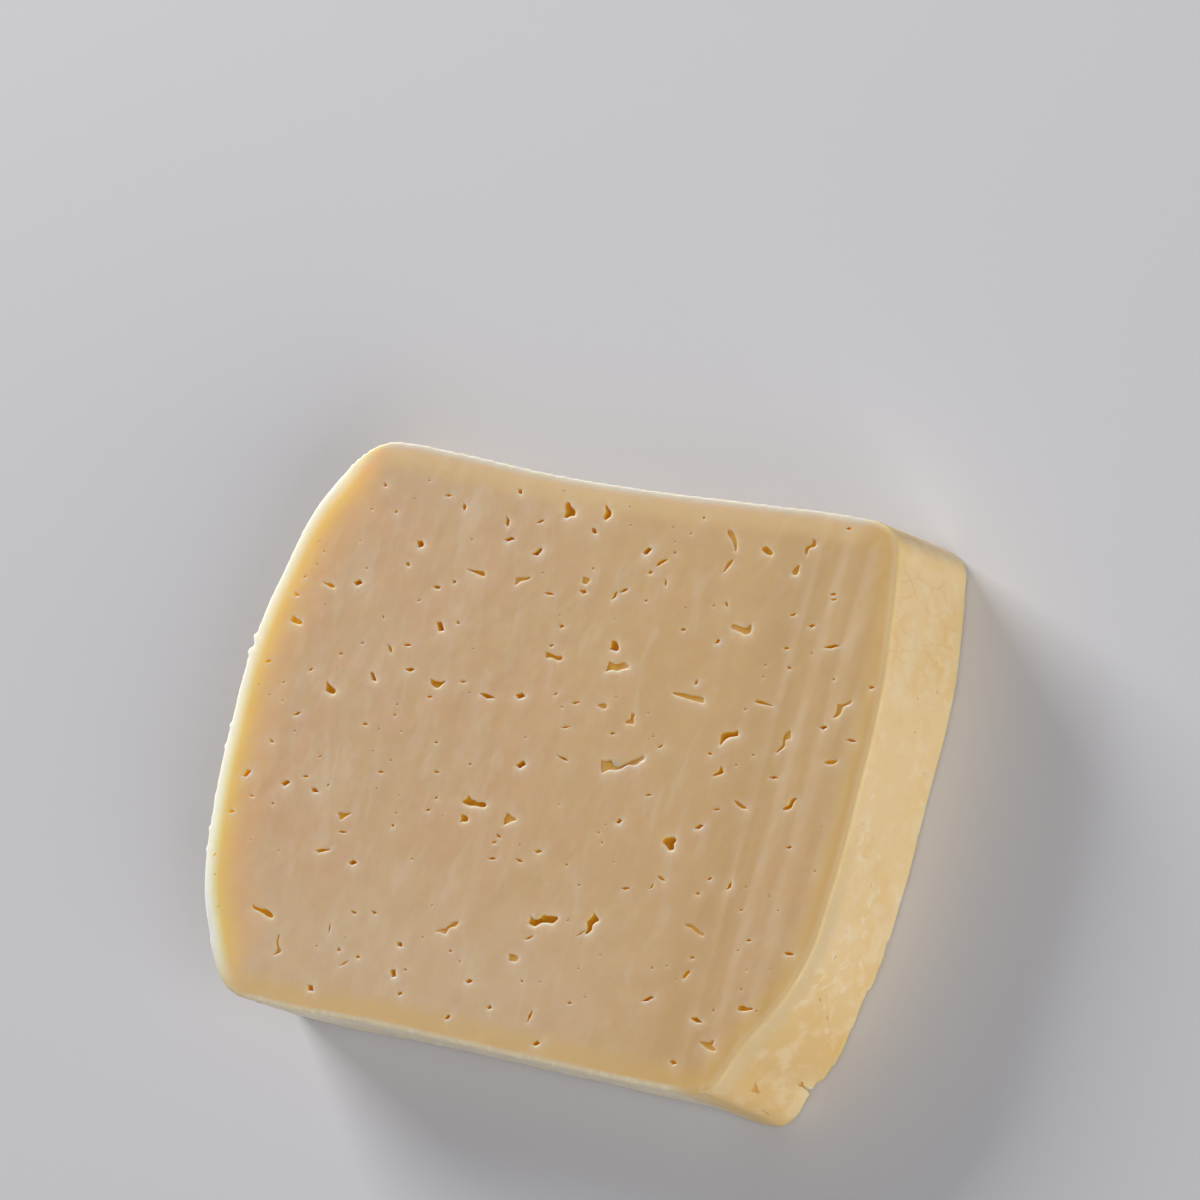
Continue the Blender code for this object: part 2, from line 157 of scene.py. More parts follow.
# Outlines of the largest eyes of the front cut, counter-clockwise
FRONT_SHAPES = (
    # Top
    (
        (-8.3, 45.6), (-7.9, 44.9), (-8.0, 43.9), (-7.3, 43.9), (-6.5, 44.5), (-5.6, 44.5),
        (-5.9, 45.4), (-7.0, 45.8), (-7.7, 46.6), (-8.7, 46.5),
    ),
    (
        (1.2, 46.4), (1.0, 45.6), (1.2, 44.9), (1.7, 44.8), (2.1, 45.2), (2.6, 45.6),
        (2.4, 46.3), (1.5, 46.8), (1.1, 47.3), (0.6, 47.4),
    ),
    (
        (29.6, 46.4), (30.4, 45.8), (31.3, 45.1), (32.0, 44.3), (32.5, 43.3), (32.5, 44.0),
        (32.0, 45.2), (31.2, 46.2), (30.3, 46.8), (29.4, 46.9),
    ),
    (
        (31.8, 41.6), (31.3, 41.3), (31.1, 40.4), (31.0, 39.3), (31.6, 40.2), (32.3, 41.3),
        (32.4, 42.0),
    ),
    (
        (38.7, 44.3), (39.5, 44.0), (40.5, 43.9), (40.8, 44.1), (40.0, 44.6), (39.4, 45.0),
        (38.7, 45.2), (37.9, 44.8),
    ),
    (
        (48.8, 47.5), (48.8, 46.9), (48.2, 46.7), (47.6, 46.4), (47.4, 46.0), (47.7, 45.5),
        (48.2, 45.0), (48.1, 45.7), (48.1, 46.2), (48.7, 46.6), (49.5, 46.8), (49.7, 47.2),
        (49.0, 47.8), (48.4, 48.0),
    ),
    (
        (46.0, 41.6), (46.7, 41.2), (47.3, 41.4), (47.3, 42.2), (47.2, 43.1), (46.6, 42.7),
        (46.1, 42.2),
    ),
    (
        (16.0, 38.3), (16.8, 38.9), (17.5, 39.4), (18.0, 39.9), (17.0, 39.6), (16.2, 39.1),
        (15.7, 38.5),
    ),
    (
        (-15.0, 31.1), (-15.1, 30.4), (-14.7, 30.3), (-14.4, 30.8), (-13.6, 31.3), (-12.3, 31.7),
        (-11.8, 32.2), (-12.9, 31.9), (-14.2, 31.7), (-15.4, 31.5),
    ),
    (
        (0.2, 33.6), (0.1, 33.2), (0.7, 32.8), (1.4, 32.8), (1.5, 33.2), (1.8, 33.7),
        (0.6, 33.8), (0.0, 34.0),
    ),
    # Upper half
    (
        (-65.4, 16.6), (-65.6, 16.2), (-64.7, 15.8), (-63.6, 15.7), (-62.6, 15.7), (-62.5, 16.1),
        (-63.6, 16.3), (-64.5, 16.6), (-65.1, 17.0),
    ),
    (
        (-52.7, 5.9), (-52.4, 5.3), (-52.5, 4.8), (-52.0, 4.7), (-50.9, 4.4), (-49.9, 4.5),
        (-50.0, 5.1), (-51.0, 5.4), (-52.0, 5.9), (-52.8, 6.4),
    ),
    (
        (-28.1, 9.9), (-27.4, 9.5), (-26.7, 9.3), (-25.9, 9.5), (-25.7, 10.0), (-24.8, 10.8),
        (-25.8, 10.4), (-26.8, 10.3), (-27.8, 10.4), (-28.6, 10.6),
    ),
    (
        (-3.3, 18.5), (-2.7, 18.8), (-1.7, 18.8), (-0.7, 18.5), (0.3, 18.7), (0.2, 19.3),
        (-0.4, 19.1), (-1.6, 19.1), (-2.6, 19.3), (-3.9, 19.5),
    ),
    (
        (10.6, 23.0), (10.6, 22.1), (11.0, 22.3), (12.3, 22.1), (12.5, 22.7), (11.5, 23.7),
        (10.3, 23.7),
    ),
    (
        (11.1, 19.4), (11.0, 18.2), (12.3, 18.8), (13.7, 18.7), (14.5, 19.2), (16.0, 19.6),
        (15.4, 20.0), (14.5, 20.4), (13.7, 20.0), (12.7, 19.6), (12.0, 19.7), (11.1, 20.1),
    ),
    (
        (27.8, 16.6), (29.4, 16.5), (31.3, 16.3), (33.2, 16.2), (34.5, 16.1), (34.1, 16.9),
        (32.7, 17.0), (31.1, 16.9), (28.8, 17.0), (27.0, 16.8),
    ),
    (
        (36.1, 30.0), (37.1, 29.8), (38.5, 29.6), (39.7, 29.4), (40.6, 29.8), (40.4, 30.8),
        (40.0, 31.3), (39.8, 30.5), (38.7, 30.3), (37.3, 30.5), (35.9, 30.7),
    ),
    (
        (11.8, 11.9), (12.4, 11.7), (13.1, 11.6), (13.5, 12.0), (12.8, 12.5), (12.2, 12.4),
        (11.1, 12.0),
    ),
    (
        (19.4, 10.6), (18.5, 10.3), (18.4, 9.9), (19.6, 10.0), (20.5, 10.0), (19.9, 11.0),
        (20.2, 11.6), (19.2, 11.8),
    ),
    (
        (40.3, 10.5), (40.6, 9.4), (41.0, 10.2), (41.7, 11.0), (42.7, 11.4), (43.9, 11.7),
        (43.5, 12.5), (42.3, 12.0), (41.0, 11.8), (40.0, 11.3),
    ),
    (
        (54.0, 13.7), (53.8, 13.0), (53.9, 12.3), (54.1, 11.3), (53.4, 10.7), (53.2, 10.0),
        (53.9, 10.7), (54.5, 11.3), (54.7, 11.7), (54.3, 12.4), (54.5, 12.8), (55.5, 13.0),
        (54.9, 14.3),
    ),
    (
        (63.6, 19.8), (63.7, 18.9), (63.3, 18.0), (64.1, 18.3), (64.7, 18.9), (64.7, 19.6),
        (64.8, 20.3), (65.4, 20.6), (66.3, 21.0), (66.4, 21.5), (65.6, 21.2), (64.9, 20.7),
        (64.1, 20.4), (63.4, 20.5),
    ),
    (
        (41.9, 5.1), (41.6, 4.6), (40.8, 4.2), (40.7, 3.8), (41.5, 4.2), (42.3, 4.5),
        (42.9, 4.8), (42.3, 5.4), (41.9, 5.9),
    ),
    (
        (15.8, 1.4), (16.4, 0.4), (16.9, 0.8), (17.9, 1.4), (19.3, 1.4), (20.5, 2.0),
        (21.6, 2.9), (23.4, 3.0), (24.1, 3.7), (25.0, 4.4), (24.4, 4.8), (23.3, 4.1),
        (21.9, 3.3), (20.4, 2.3), (19.4, 1.8), (18.4, 2.0), (17.6, 3.0), (16.6, 2.4),
        (15.4, 2.6),
    ),
    (
        (64.7, 10.0), (65.8, 10.1), (66.4, 10.4), (66.8, 10.9), (65.8, 10.7), (64.8, 10.5),
        (64.0, 10.2),
    ),
    # Lower half
    (
        (59.7, 3.0), (59.1, 2.7), (59.0, 2.2), (59.0, 1.6), (58.3, 1.2), (57.7, 0.8),
        (58.4, 0.7), (59.2, 1.0), (59.7, 1.4), (59.7, 1.9), (59.8, 2.5), (60.4, 3.0),
    ),
    (
        (-12.9, -10.0), (-11.6, -10.2), (-10.5, -10.0), (-9.3, -10.0), (-8.1, -9.9), (-7.7, -9.5),
        (-8.3, -9.2), (-9.3, -9.2), (-10.1, -9.5), (-10.8, -9.1), (-11.2, -9.3), (-11.8, -9.1),
        (-12.2, -8.6), (-12.7, -8.6), (-12.9, -9.3), (-13.7, -9.8),
    ),
    (
        (-12.6, -12.7), (-12.6, -13.5), (-12.2, -13.2), (-11.3, -13.1), (-10.9, -12.8), (-11.6, -12.2),
        (-12.3, -12.2), (-13.1, -12.1),
    ),
    (
        (-1.9, -11.8), (-1.1, -11.3), (-0.0, -10.9), (-1.3, -10.7), (-2.2, -10.2), (-2.7, -10.1),
        (-2.9, -11.1), (-2.6, -12.3),
    ),
    (
        (-41.1, -16.9), (-40.5, -17.2), (-40.5, -17.8), (-39.7, -17.2), (-39.2, -16.7), (-38.2, -16.1),
        (-39.3, -16.4), (-40.5, -16.6), (-41.7, -16.5),
    ),
    (
        (33.7, -9.2), (34.5, -9.5), (35.1, -9.9), (35.7, -10.4), (36.7, -10.0), (36.3, -9.6),
        (36.2, -9.0), (36.7, -8.6), (36.1, -8.1), (34.8, -8.3), (33.6, -8.8),
    ),
    (
        (-55.4, -36.9), (-54.2, -37.1), (-52.9, -37.3), (-51.5, -37.7), (-50.2, -37.9), (-50.0, -37.7),
        (-50.6, -37.2), (-51.5, -36.9), (-52.1, -36.6), (-53.3, -36.8), (-54.9, -36.7), (-56.0, -36.3),
    ),
    (
        (-7.3, -31.0), (-8.1, -31.4), (-8.9, -32.0), (-9.3, -32.7), (-10.5, -32.9), (-11.4, -33.5),
        (-10.3, -33.3), (-9.5, -33.5), (-8.8, -33.6), (-8.8, -33.2), (-8.7, -32.5), (-8.1, -32.0),
        (-7.1, -31.8), (-6.9, -31.3), (-6.6, -30.9),
    ),
    (
        (9.2, -27.6), (9.0, -28.2), (9.5, -28.4), (10.8, -28.6), (11.3, -28.1), (12.1, -27.6),
        (13.2, -27.4), (14.4, -27.4), (14.8, -27.1), (15.1, -26.7), (15.4, -26.3), (14.9, -26.2),
        (13.3, -26.3), (12.4, -26.5), (12.0, -26.2), (11.7, -26.4), (11.2, -27.2), (10.4, -27.6),
        (9.7, -27.5), (9.0, -26.9),
    ),
    (
        (22.8, -24.6), (22.5, -25.2), (21.8, -25.8), (22.2, -26.2), (22.5, -27.0), (22.3, -28.0),
        (22.9, -27.7), (23.5, -27.0), (23.3, -26.2), (23.8, -25.5), (24.6, -25.1), (23.7, -24.6),
        (23.1, -24.0),
    ),
    (
        (44.1, -22.6), (45.1, -22.7), (45.9, -23.0), (47.0, -23.5), (48.2, -23.7), (48.3, -23.5),
        (47.3, -23.2), (46.3, -22.8), (45.4, -22.4), (44.5, -22.3), (43.4, -22.4),
    ),
    (
        (-47.7, -41.0), (-47.6, -42.0), (-46.9, -42.9), (-46.7, -43.5), (-47.2, -43.9), (-47.5, -44.4),
        (-46.4, -43.8), (-45.7, -43.4), (-46.5, -43.1), (-47.0, -42.4), (-47.3, -41.7), (-47.2, -41.0),
        (-47.6, -40.5),
    ),
    (
        (7.1, -34.9), (7.0, -35.5), (7.5, -35.5), (8.7, -35.4), (9.1, -34.9), (8.4, -34.5),
        (7.4, -34.4), (6.4, -34.5),
    ),
    (
        (47.0, -30.2), (46.5, -30.4), (46.3, -30.9), (46.1, -31.5), (46.3, -31.8), (46.7, -31.3),
        (47.0, -30.8), (47.5, -30.2),
    ),
    (
        (59.9, -34.7), (60.6, -34.8), (61.7, -34.5), (63.1, -34.0), (61.5, -34.2), (60.8, -33.9),
        (60.1, -34.0), (59.6, -34.3),
    ),
    (
        (54.2, -41.9), (54.8, -42.2), (55.4, -42.5), (56.3, -42.6), (57.5, -42.5), (57.1, -42.4),
        (56.5, -42.1), (56.2, -41.6), (56.5, -41.2), (56.4, -40.8), (56.0, -41.1), (55.5, -41.5),
        (54.6, -41.6), (53.4, -41.6),
    ),
)

# Other eyes of the front cut: centre x and y, length, width, tilt in degrees, and where along the
# opening its upper and its lower corner sit, from -1 at the left end to 1 at the right end
FRONT_EYES = (
    # Upper left
    (-51.8, 43.8, 1.1, 0.6, -25, 0.0, 0.0),
    (-36.2, 44.0, 1.5, 0.5, 10, 0.0, 0.2),
    (-31.8, 42.5, 1.5, 1.0, -70, 0.0, 0.0),
    (-39.8, 34.4, 2.0, 1.4, -20, 0.3, 0.2),
    (-25.0, 31.3, 4.4, 0.8, -4, 0.7, 0.7),
    (-41.3, 30.3, 1.3, 0.7, -20, 0.3, 0.3),
    (-51.8, 25.2, 1.9, 1.3, 0, 0.1, -0.1),
    (-58.8, 23.9, 3.4, 0.7, -8, 0.5, 0.5),
    (-33.1, 27.2, 1.9, 0.7, 0, 0.0, 0.3),
    (-65.7, 20.9, 1.6, 0.7, -15, 0.0, 0.0),
    (-29.7, 20.3, 2.4, 1.6, -25, -0.2, 0.3),
    (-36.1, 15.8, 1.9, 0.5, 5, 0.0, 0.0),
    (-40.0, 14.6, 2.1, 0.7, -40, 0.0, 0.0),
    (-34.0, 11.5, 2.2, 0.8, 5, 0.2, 0.2),
    (-42.0, 8.9, 2.5, 1.1, -25, -0.3, 0.2),
    (-27.5, 7.4, 1.3, 0.5, 5, 0.0, 0.0),
    (-57.7, -0.5, 1.9, 0.7, 25, 0.0, 0.0),
    (-40.9, 0.2, 1.3, 0.5, 0, 0.0, 0.0),
    (-68.1, 7.8, 1.5, 0.7, 10, 0.0, 0.0),
    (-19.7, 47.1, 1.2, 0.9, -30, 0.0, 0.0),
    (-20.8, 41.3, 2.0, 1.0, -65, 0.0, 0.4),
    (-19.2, 38.2, 2.3, 0.9, 10, 0.3, -0.3),
    (-13.1, 42.4, 1.7, 0.6, 25, 0.0, 0.0),
    (-11.9, 36.8, 2.3, 1.3, 30, 0.6, 0.0),
    (-6.7, 29.9, 2.3, 0.5, 0, 0.0, 0.0),
    (-14.3, 9.6, 3.6, 0.9, -2, -0.4, 0.0),
    (-6.9, 10.9, 2.3, 1.2, 8, 0.3, -0.3),
    (-3.0, 20.8, 1.1, 0.6, 10, 0.0, 0.0),
    (-20.8, 11.3, 1.5, 0.4, 0, 0.0, 0.0),
    # Upper middle
    (-0.3, 42.5, 1.6, 0.9, -20, 0.0, 0.0),
    (12.9, 40.7, 1.8, 1.4, 25, 0.2, -0.4),
    (0.9, 31.4, 1.7, 0.8, -5, 0.4, 0.4),
    (10.1, 33.0, 1.9, 0.7, 30, 0.0, 0.0),
    (8.4, 31.8, 1.8, 0.9, 50, 0.0, 0.0),
    (14.9, 37.0, 1.1, 0.7, 10, 0.0, 0.0),
    (18.9, 35.7, 1.5, 0.6, -65, 0.0, 0.0),
    (25.6, 28.1, 1.3, 0.6, -5, 0.0, 0.0),
    (-1.8, 24.5, 1.1, 0.7, 0, 0.0, 0.0),
    (31.6, 19.4, 1.0, 0.8, 60, 0.0, 0.0),
    (6.1, 11.6, 1.8, 0.5, 12, 0.0, 0.0),
    (16.3, 7.6, 1.2, 0.5, -5, 0.0, 0.0),
    (27.6, 7.1, 1.2, 0.6, 35, 0.0, 0.0),
    (5.4, 7.0, 2.0, 0.4, 15, 0.0, 0.0),
    (6.6, 1.5, 2.9, 0.5, -10, 0.2, 0.2),
    (-2.5, -1.1, 2.1, 1.6, 5, 0.2, 0.0),
    (27.9, -1.7, 1.3, 0.5, 5, 0.0, 0.0),
    # Upper right
    (55.7, 50.9, 1.2, 0.5, 0, 0.0, 0.0),
    (56.1, 39.1, 1.3, 0.5, 5, 0.0, 0.0),
    (56.5, 38.2, 1.4, 0.4, 10, 0.0, 0.0),
    (48.8, 34.3, 1.3, 0.5, 15, 0.0, 0.0),
    (53.4, 33.0, 1.5, 0.7, 10, 0.0, 0.2),
    (33.6, 34.0, 1.2, 0.5, -35, 0.0, 0.0),
    (59.0, 30.1, 3.3, 0.7, 14, 0.3, 0.0),
    (33.8, 27.2, 1.1, 0.9, 40, 0.0, 0.0),
    (49.2, 28.3, 1.2, 0.5, 5, 0.0, 0.0),
    (51.0, 25.1, 1.0, 0.5, -10, 0.0, 0.0),
    (69.7, 24.4, 1.2, 0.6, 0, 0.0, 0.0),
    (47.7, 18.1, 4.2, 0.6, -5, -0.6, -0.5),
    (61.8, 16.0, 1.6, 0.8, 15, 0.0, 0.0),
    (68.4, 14.8, 2.1, 0.5, -5, 0.0, 0.0),
    (38.8, 7.6, 1.1, 0.5, -10, 0.0, 0.0),
    (54.0, 5.8, 1.8, 0.6, 5, 0.0, 0.0),
    (48.4, -0.1, 3.4, 0.8, -13, -0.4, 0.3),
    (43.6, -1.7, 1.4, 0.4, 5, 0.0, 0.0),
    # Lower left
    (-62.0, -6.4, 1.5, 0.6, -15, 0.0, 0.0),
    (-65.8, -13.1, 2.0, 1.5, 35, 0.2, -0.3),
    (-55.9, -13.4, 1.9, 1.2, 15, 0.3, -0.2),
    (-51.5, -11.4, 1.4, 0.5, 0, 0.0, 0.0),
    (-48.4, -13.5, 2.1, 0.9, -12, -0.2, 0.0),
    (-63.2, -17.0, 1.3, 0.4, 0, 0.0, 0.0),
    (-39.1, -19.8, 1.9, 0.5, 0, 0.0, 0.0),
    (-67.0, -20.6, 1.4, 0.7, 0, 0.0, 0.0),
    (-42.5, -23.9, 3.6, 0.8, 12, -0.4, -0.5),
    (-34.8, -24.8, 1.9, 1.1, 0, 0.0, 0.0),
    (-34.1, -7.7, 1.4, 0.5, 0, 0.0, 0.0),
    (-21.3, -5.6, 1.4, 0.5, 0, 0.0, 0.0),
    (-31.4, -33.5, 1.6, 0.5, -5, 0.0, 0.0),
    (-26.7, -32.7, 1.5, 0.5, -10, 0.0, 0.0),
    (-36.1, -37.3, 2.0, 0.6, -70, 0.0, 0.0),
    (-32.5, -40.6, 1.0, 0.8, 0, 0.0, 0.0),
    (-27.6, -41.1, 1.0, 0.8, 0, 0.0, 0.0),
    (-30.4, -42.9, 2.2, 0.5, 35, 0.0, 0.0),
    (-36.6, -48.6, 1.7, 1.2, -30, 0.0, 0.0),
    # Lower middle
    (-20.8, -12.6, 1.1, 0.6, 10, 0.0, 0.0),
    (-3.1, -14.4, 1.4, 0.5, -15, 0.0, 0.0),
    (-3.7, -15.7, 1.2, 0.5, 15, 0.0, 0.0),
    (-3.1, -18.6, 1.8, 0.5, 12, 0.0, 0.0),
    (6.8, -15.6, 1.8, 0.7, 5, 0.0, 0.0),
    (3.2, -17.9, 1.7, 0.5, -10, 0.0, 0.0),
    (22.9, -7.3, 1.4, 1.1, 30, 0.0, 0.0),
    (28.4, -18.6, 1.9, 0.6, 10, 0.0, 0.0),
    (21.4, -28.0, 2.0, 0.4, 35, 0.0, 0.0),
    (10.2, -30.8, 1.8, 0.6, 35, 0.0, 0.0),
    (-18.7, -37.2, 1.5, 0.9, -20, 0.0, 0.0),
    (-18.4, -42.5, 1.8, 1.5, -20, 0.0, 0.3),
    (-0.8, -40.7, 1.7, 1.0, 15, 0.0, 0.0),
    (5.4, -44.3, 1.0, 0.9, 0, 0.0, 0.0),
    (-15.6, -45.8, 1.2, 0.8, 5, 0.0, 0.0),
    (-3.3, -47.8, 1.3, 0.9, 40, 0.0, 0.0),
    (14.9, -44.3, 2.4, 0.8, 80, 0.0, 0.0),
    (18.0, -48.6, 1.7, 1.0, 10, 0.0, 0.0),
    (23.1, -40.4, 1.1, 0.5, 5, 0.0, 0.0),
    # Lower right
    (40.7, -5.3, 1.9, 1.0, 22, 0.3, 0.0),
    (35.6, -15.5, 1.9, 0.5, -12, 0.0, 0.0),
    (44.4, -16.7, 1.1, 0.5, 0, 0.0, 0.0),
    (34.0, -17.3, 1.2, 0.6, 60, 0.0, 0.0),
    (50.9, -14.3, 1.5, 0.9, 70, 0.0, 0.0),
    (61.3, -5.5, 1.3, 0.6, 10, 0.0, 0.0),
    (58.2, -22.7, 1.2, 0.5, 5, 0.0, 0.0),
    (67.4, -23.4, 2.2, 0.7, 0, 0.0, 0.0),
    (47.0, -27.8, 1.2, 0.5, 0, 0.0, 0.0),
    (39.8, -36.5, 2.6, 0.8, 25, 0.3, 0.0),
    (51.5, -38.1, 2.6, 0.9, -5, 0.0, 0.2),
    (49.0, -46.2, 1.6, 0.8, 0, 0.0, 0.0),
)

# Pinholes between the eyes, and eyes of the back cut, follow a rule
PINHOLE_COUNT = 115
PINHOLE_LENGTHS = (0.35, 1.1)
BACK_EYE_COUNT = 34
BACK_EYE_LENGTHS = (1.8, 6.0)
BACK_EYE_WIDTHS = (0.9, 1.6)
BACK_EYE_SPACING = 12.0
BACK_EYE_EDGE_MARGIN = 6.0
BACK_EYE_REST_CLEARANCE = 8.0
BACK_SEED = 17
SMALL_BACK_EYE_COUNT = 40
SMALL_BACK_EYE_LENGTHS = (0.9, 2.2)
EYE_TILT = 35
EYE_GAP = 1.2
SECTION_SQUARENESS = 5

# Form of an eye: uneven sides between its corners, then one row for each level of the hollow:
# height in mm at the rim or share of the depth below it, outward shift in mm, and size
EYE_SIDE_BEND = 0.30
EYE_STRETCH = 1.12
EYE_RAGGED = 0.10
EYE_STEP = 0.28
SOFTENING_LOSS = 0.09
EYE_LEAST_DEPTH = 0.16
EYE_DEPTH_SHARE = 0.50
EYE_DEPTH_CHANCE = (0.35, 1.1)

# Numbers of the shapes above whose hollow is only a shallow dent, and its depth
SHALLOW_SHAPES = (2, 3, 5, 6, 8, 9, 15, 16, 17, 18, 19, 21, 22, 24, 25, 29, 30, 33, 36, 37, 38, 39, 41)
SHALLOW_DEPTH = 0.13

EYE_RIM_LEVELS = (
    (0.50, 0.50),
    (0.03, 0.26),
    (-0.01, 0.15),
    (-0.06, 0.07),
    (-0.14, 0.02),
    (-0.22, 0.0),
)
EYE_CUP_LEVELS = (
    (0.40, 1.00),
    (0.68, 0.90),
    (0.90, 0.70),
    (1.00, 0.45),
)

# Whitish, slightly raised border of an eye, stronger on the side away from the light: partly whitish smears, partly
# a painted highlight where the rim catches the light
AWAY_FROM_LIGHT = (0.84, -0.54)
EYE_LIP = 0.03
EYE_BORDERS = ((0.50, 0.80), (1.7, 0.40))
EYE_RINGS = (0.35, 0.80)

# Knife ripples: x of one crest, and from crest to crest
RIPPLE_CREST = 52.0
RIPPLE_PITCH = 6.15

# Pit in the rind: x, y and height, then its corners along the rind and upwards
PIT_PLACE = (61.5, -46.8, 11.6)
PIT_SHAPE = ((1.1, 0.8), (0.3, 0.55), (-0.65, 0.75), (-0.45, -0.25), (-0.4, -1.4), (0.15, -0.4))

# Other damage of the rind: x, y, height, then the form as for the eyes
RIND_CRACKS = (
    (60.6, -49.6, 6.6, 3.6, 0.3, 82, 0.0, 0.3),
    (73.0, -8.0, 9.5, 1.0, 0.5, 30, 0.0, 0.3),
    (72.0, -22.0, 13.0, 1.2, 0.4, -20, 0.0, 0.3),
)
RIND_PIT_COUNT = 22
RIND_PIT_SHALLOWNESS = 0.5

# Notch in the back edge near the lower right corner: height, half width and drift along the rind
NOTCH_PLACE = (64.3, -44.3)
NOTCH_DEPTH = 1.1
NOTCH_LEVELS = (
    (-0.5, 1.00, 0.0),
    (0.0, 0.65, 0.0),
    (0.9, 0.28, 0.05),
    (2.2, 0.12, 0.20),
    (2.9, 0.16, 0.35),
    (3.4, 0.50, 0.50),
    (4.1, 0.46, 0.60),
    (4.5, 0.18, 0.65),
)

# Crumbly bits of the left front rim: y, half width and how far they stand out
RIM_BITS = (
    (11.9, 0.60, 0.80),
    (10.4, 0.40, -0.30),
    (8.9, 0.70, 0.85),
    (7.3, 0.40, 0.30),
    (-5.1, 0.50, 0.45),
    (-9.1, 0.50, 0.50),
    (-24.6, 0.50, 0.40),
    (-28.3, 0.60, 0.40),
)

# Nicks in the back edge: y of the sharp end, length and depth
BACK_NICKS = (
    (-40.9, 1.6, 0.70),
    (-38.0, 1.2, 0.45),
    (-31.9, 1.6, 0.50),
    (-25.3, 1.8, 0.60),
    (-16.3, 2.0, 0.60),
    (3.0, 1.0, 0.25),
)

SEED = 23


def smooth_step(value, start, end):
    """Go from 0 at start to 1 at end without a kink."""
    share = np.clip((np.asarray(value, float) - start) / (end - start), 0.0, 1.0)
    return share * share * (3.0 - 2.0 * share)


def noise_at(points, size, offset=0.0):
    """Soft noise from about -1 to 1, with bumps of the given size, at each point in mm."""
    scaled = np.asarray(points, float) / size + offset
    return np.array([noise.noise(Vector(point)) for point in scaled])


def section_loop():
    """Return the cross-section as evenly spaced points, counter-clockwise, in mm."""
    curve = bpy.data.curves.new("section", "CURVE")
    curve.dimensions = "2D"
    spline = curve.splines.new("BEZIER")
    spline.bezier_points.add(len(OUTLINE) - 1)
    spline.use_cyclic_u = True
    for knot, (share_x, share_y) in zip(spline.bezier_points, OUTLINE):
        knot.handle_left_type = "AUTO"
        knot.handle_right_type = "AUTO"
        knot.co = (share_x * HALF_WIDTH, share_y * HALF_HEIGHT, 0.0)
    knots = spline.bezier_points
    dense = []
    for number, knot in enumerate(knots):
        after = knots[(number + 1) % len(knots)]
        dense += interpolate_bezier(knot.co, knot.handle_right, after.handle_left, after.co, BEZIER_STEPS)[:-1]
    bpy.data.curves.remove(curve)
    return even_loop(np.array([point[:2] for point in dense]), LOOP_COUNT)


def even_loop(points, count):
    """Space a closed loop's points evenly."""
    closed = np.vstack((points, points[:1]))
    travelled = np.concatenate(([0.0], np.cumsum(np.linalg.norm(np.diff(closed, axis=0), axis=1))))
    wanted = np.linspace(0.0, travelled[-1], count, endpoint=False)
    return np.column_stack([np.interp(wanted, travelled, closed[:, axis]) for axis in (0, 1)])


def corner_shift(points):
    """How far the back cut's right corners stand out beyond the front cut's."""
    right = smooth_step(points[:, 0], *FLARE_X)[:, None]
    lower = smooth_step(points[:, 1], *LOWER_FLARE_Y)[:, None]
    upper = smooth_step(points[:, 1], *UPPER_FLARE_Y)[:, None]
    return right * (lower * LOWER_FLARE + upper * UPPER_FLARE)


def outward(points):
    """Unit normals of a counter-clockwise loop, pointing out."""
    run = np.roll(points, -2, axis=0) - np.roll(points, 2, axis=0)
    run /= np.linalg.norm(run, axis=1)[:, None]
    return np.column_stack((run[:, 1], -run[:, 0]))


class Section:
    """The cross-section at any height between the two cuts."""

    def __init__(self):
        front = section_loop()
        shift = corner_shift(front)
        both = np.vstack((front, front + shift))
        middle = (both.min(axis=0) + both.max(axis=0)) / 2
        fit = np.array((HALF_WIDTH, HALF_HEIGHT)) * 2 / (both.max(axis=0) - both.min(axis=0))
        self.front = (front - middle) * fit
        self.shift = shift * fit
        self.normal = outward(self.front)
        step = np.linalg.norm(self.front - np.roll(self.front, 1, axis=0), axis=1)
        self.along = np.cumsum(step)
        self.soft = smooth_step(self.normal[:, 0], 0.35, 0.9)
        whole = np.vstack((self.normal[-FACING_REACH:], self.normal, self.normal[:FACING_REACH]))
        evenly = np.full(2 * FACING_REACH + 1, 1.0 / (2 * FACING_REACH + 1))
        self.facing = np.column_stack([np.convolve(whole[:, axis], evenly, "valid") for axis in (0, 1)])
        self.front_rim = CRISP_RIM + (SOFT_RIM - CRISP_RIM) * self.soft

    def at(self, height, inset):
        """Points at a height, moved in from the rind by inset."""
        share = 1.0 - np.asarray(height) / THICKNESS
        share = np.broadcast_to(share, len(self.front))[:, None]
        inset = np.broadcast_to(inset, len(self.front))[:, None]
        return self.front + self.shift * share - self.normal * inset


def front_height(points):
    """Height of the front cut: slight unevenness, fine drag marks and knife ripples."""
    flat = np.column_stack((points, np.zeros(len(points))))
    x, y = points[:, 0], points[:, 1]
    broad = 0.14 * noise_at(flat, 26.0) + 0.075 * noise_at(flat, 9.0, 5.0)
    fine = 0.055 * noise_at(flat * (1.0, 0.7, 1.0), 3.6, 21.0) + 0.034 * noise_at(flat, 1.7, 9.0)
    wander = 0.5 * noise_at(flat * (1.0, 0.4, 1.0), 20.0, 3.0)
    window = smooth_step(x, 44.0, 52.0) * smooth_step(y, 52.0, 42.0)
    strength = window * (0.9 + 0.6 * noise_at(flat * (1.0, 0.3, 1.0), 8.0, 31.0))
    turn = 2 * np.pi * (x - RIPPLE_CREST + wander) / RIPPLE_PITCH
    ripples = 0.052 * np.cos(turn) + 0.014 * np.cos(2.3 * turn + 1.0)
    return THICKNESS + broad + fine + strength * ripples


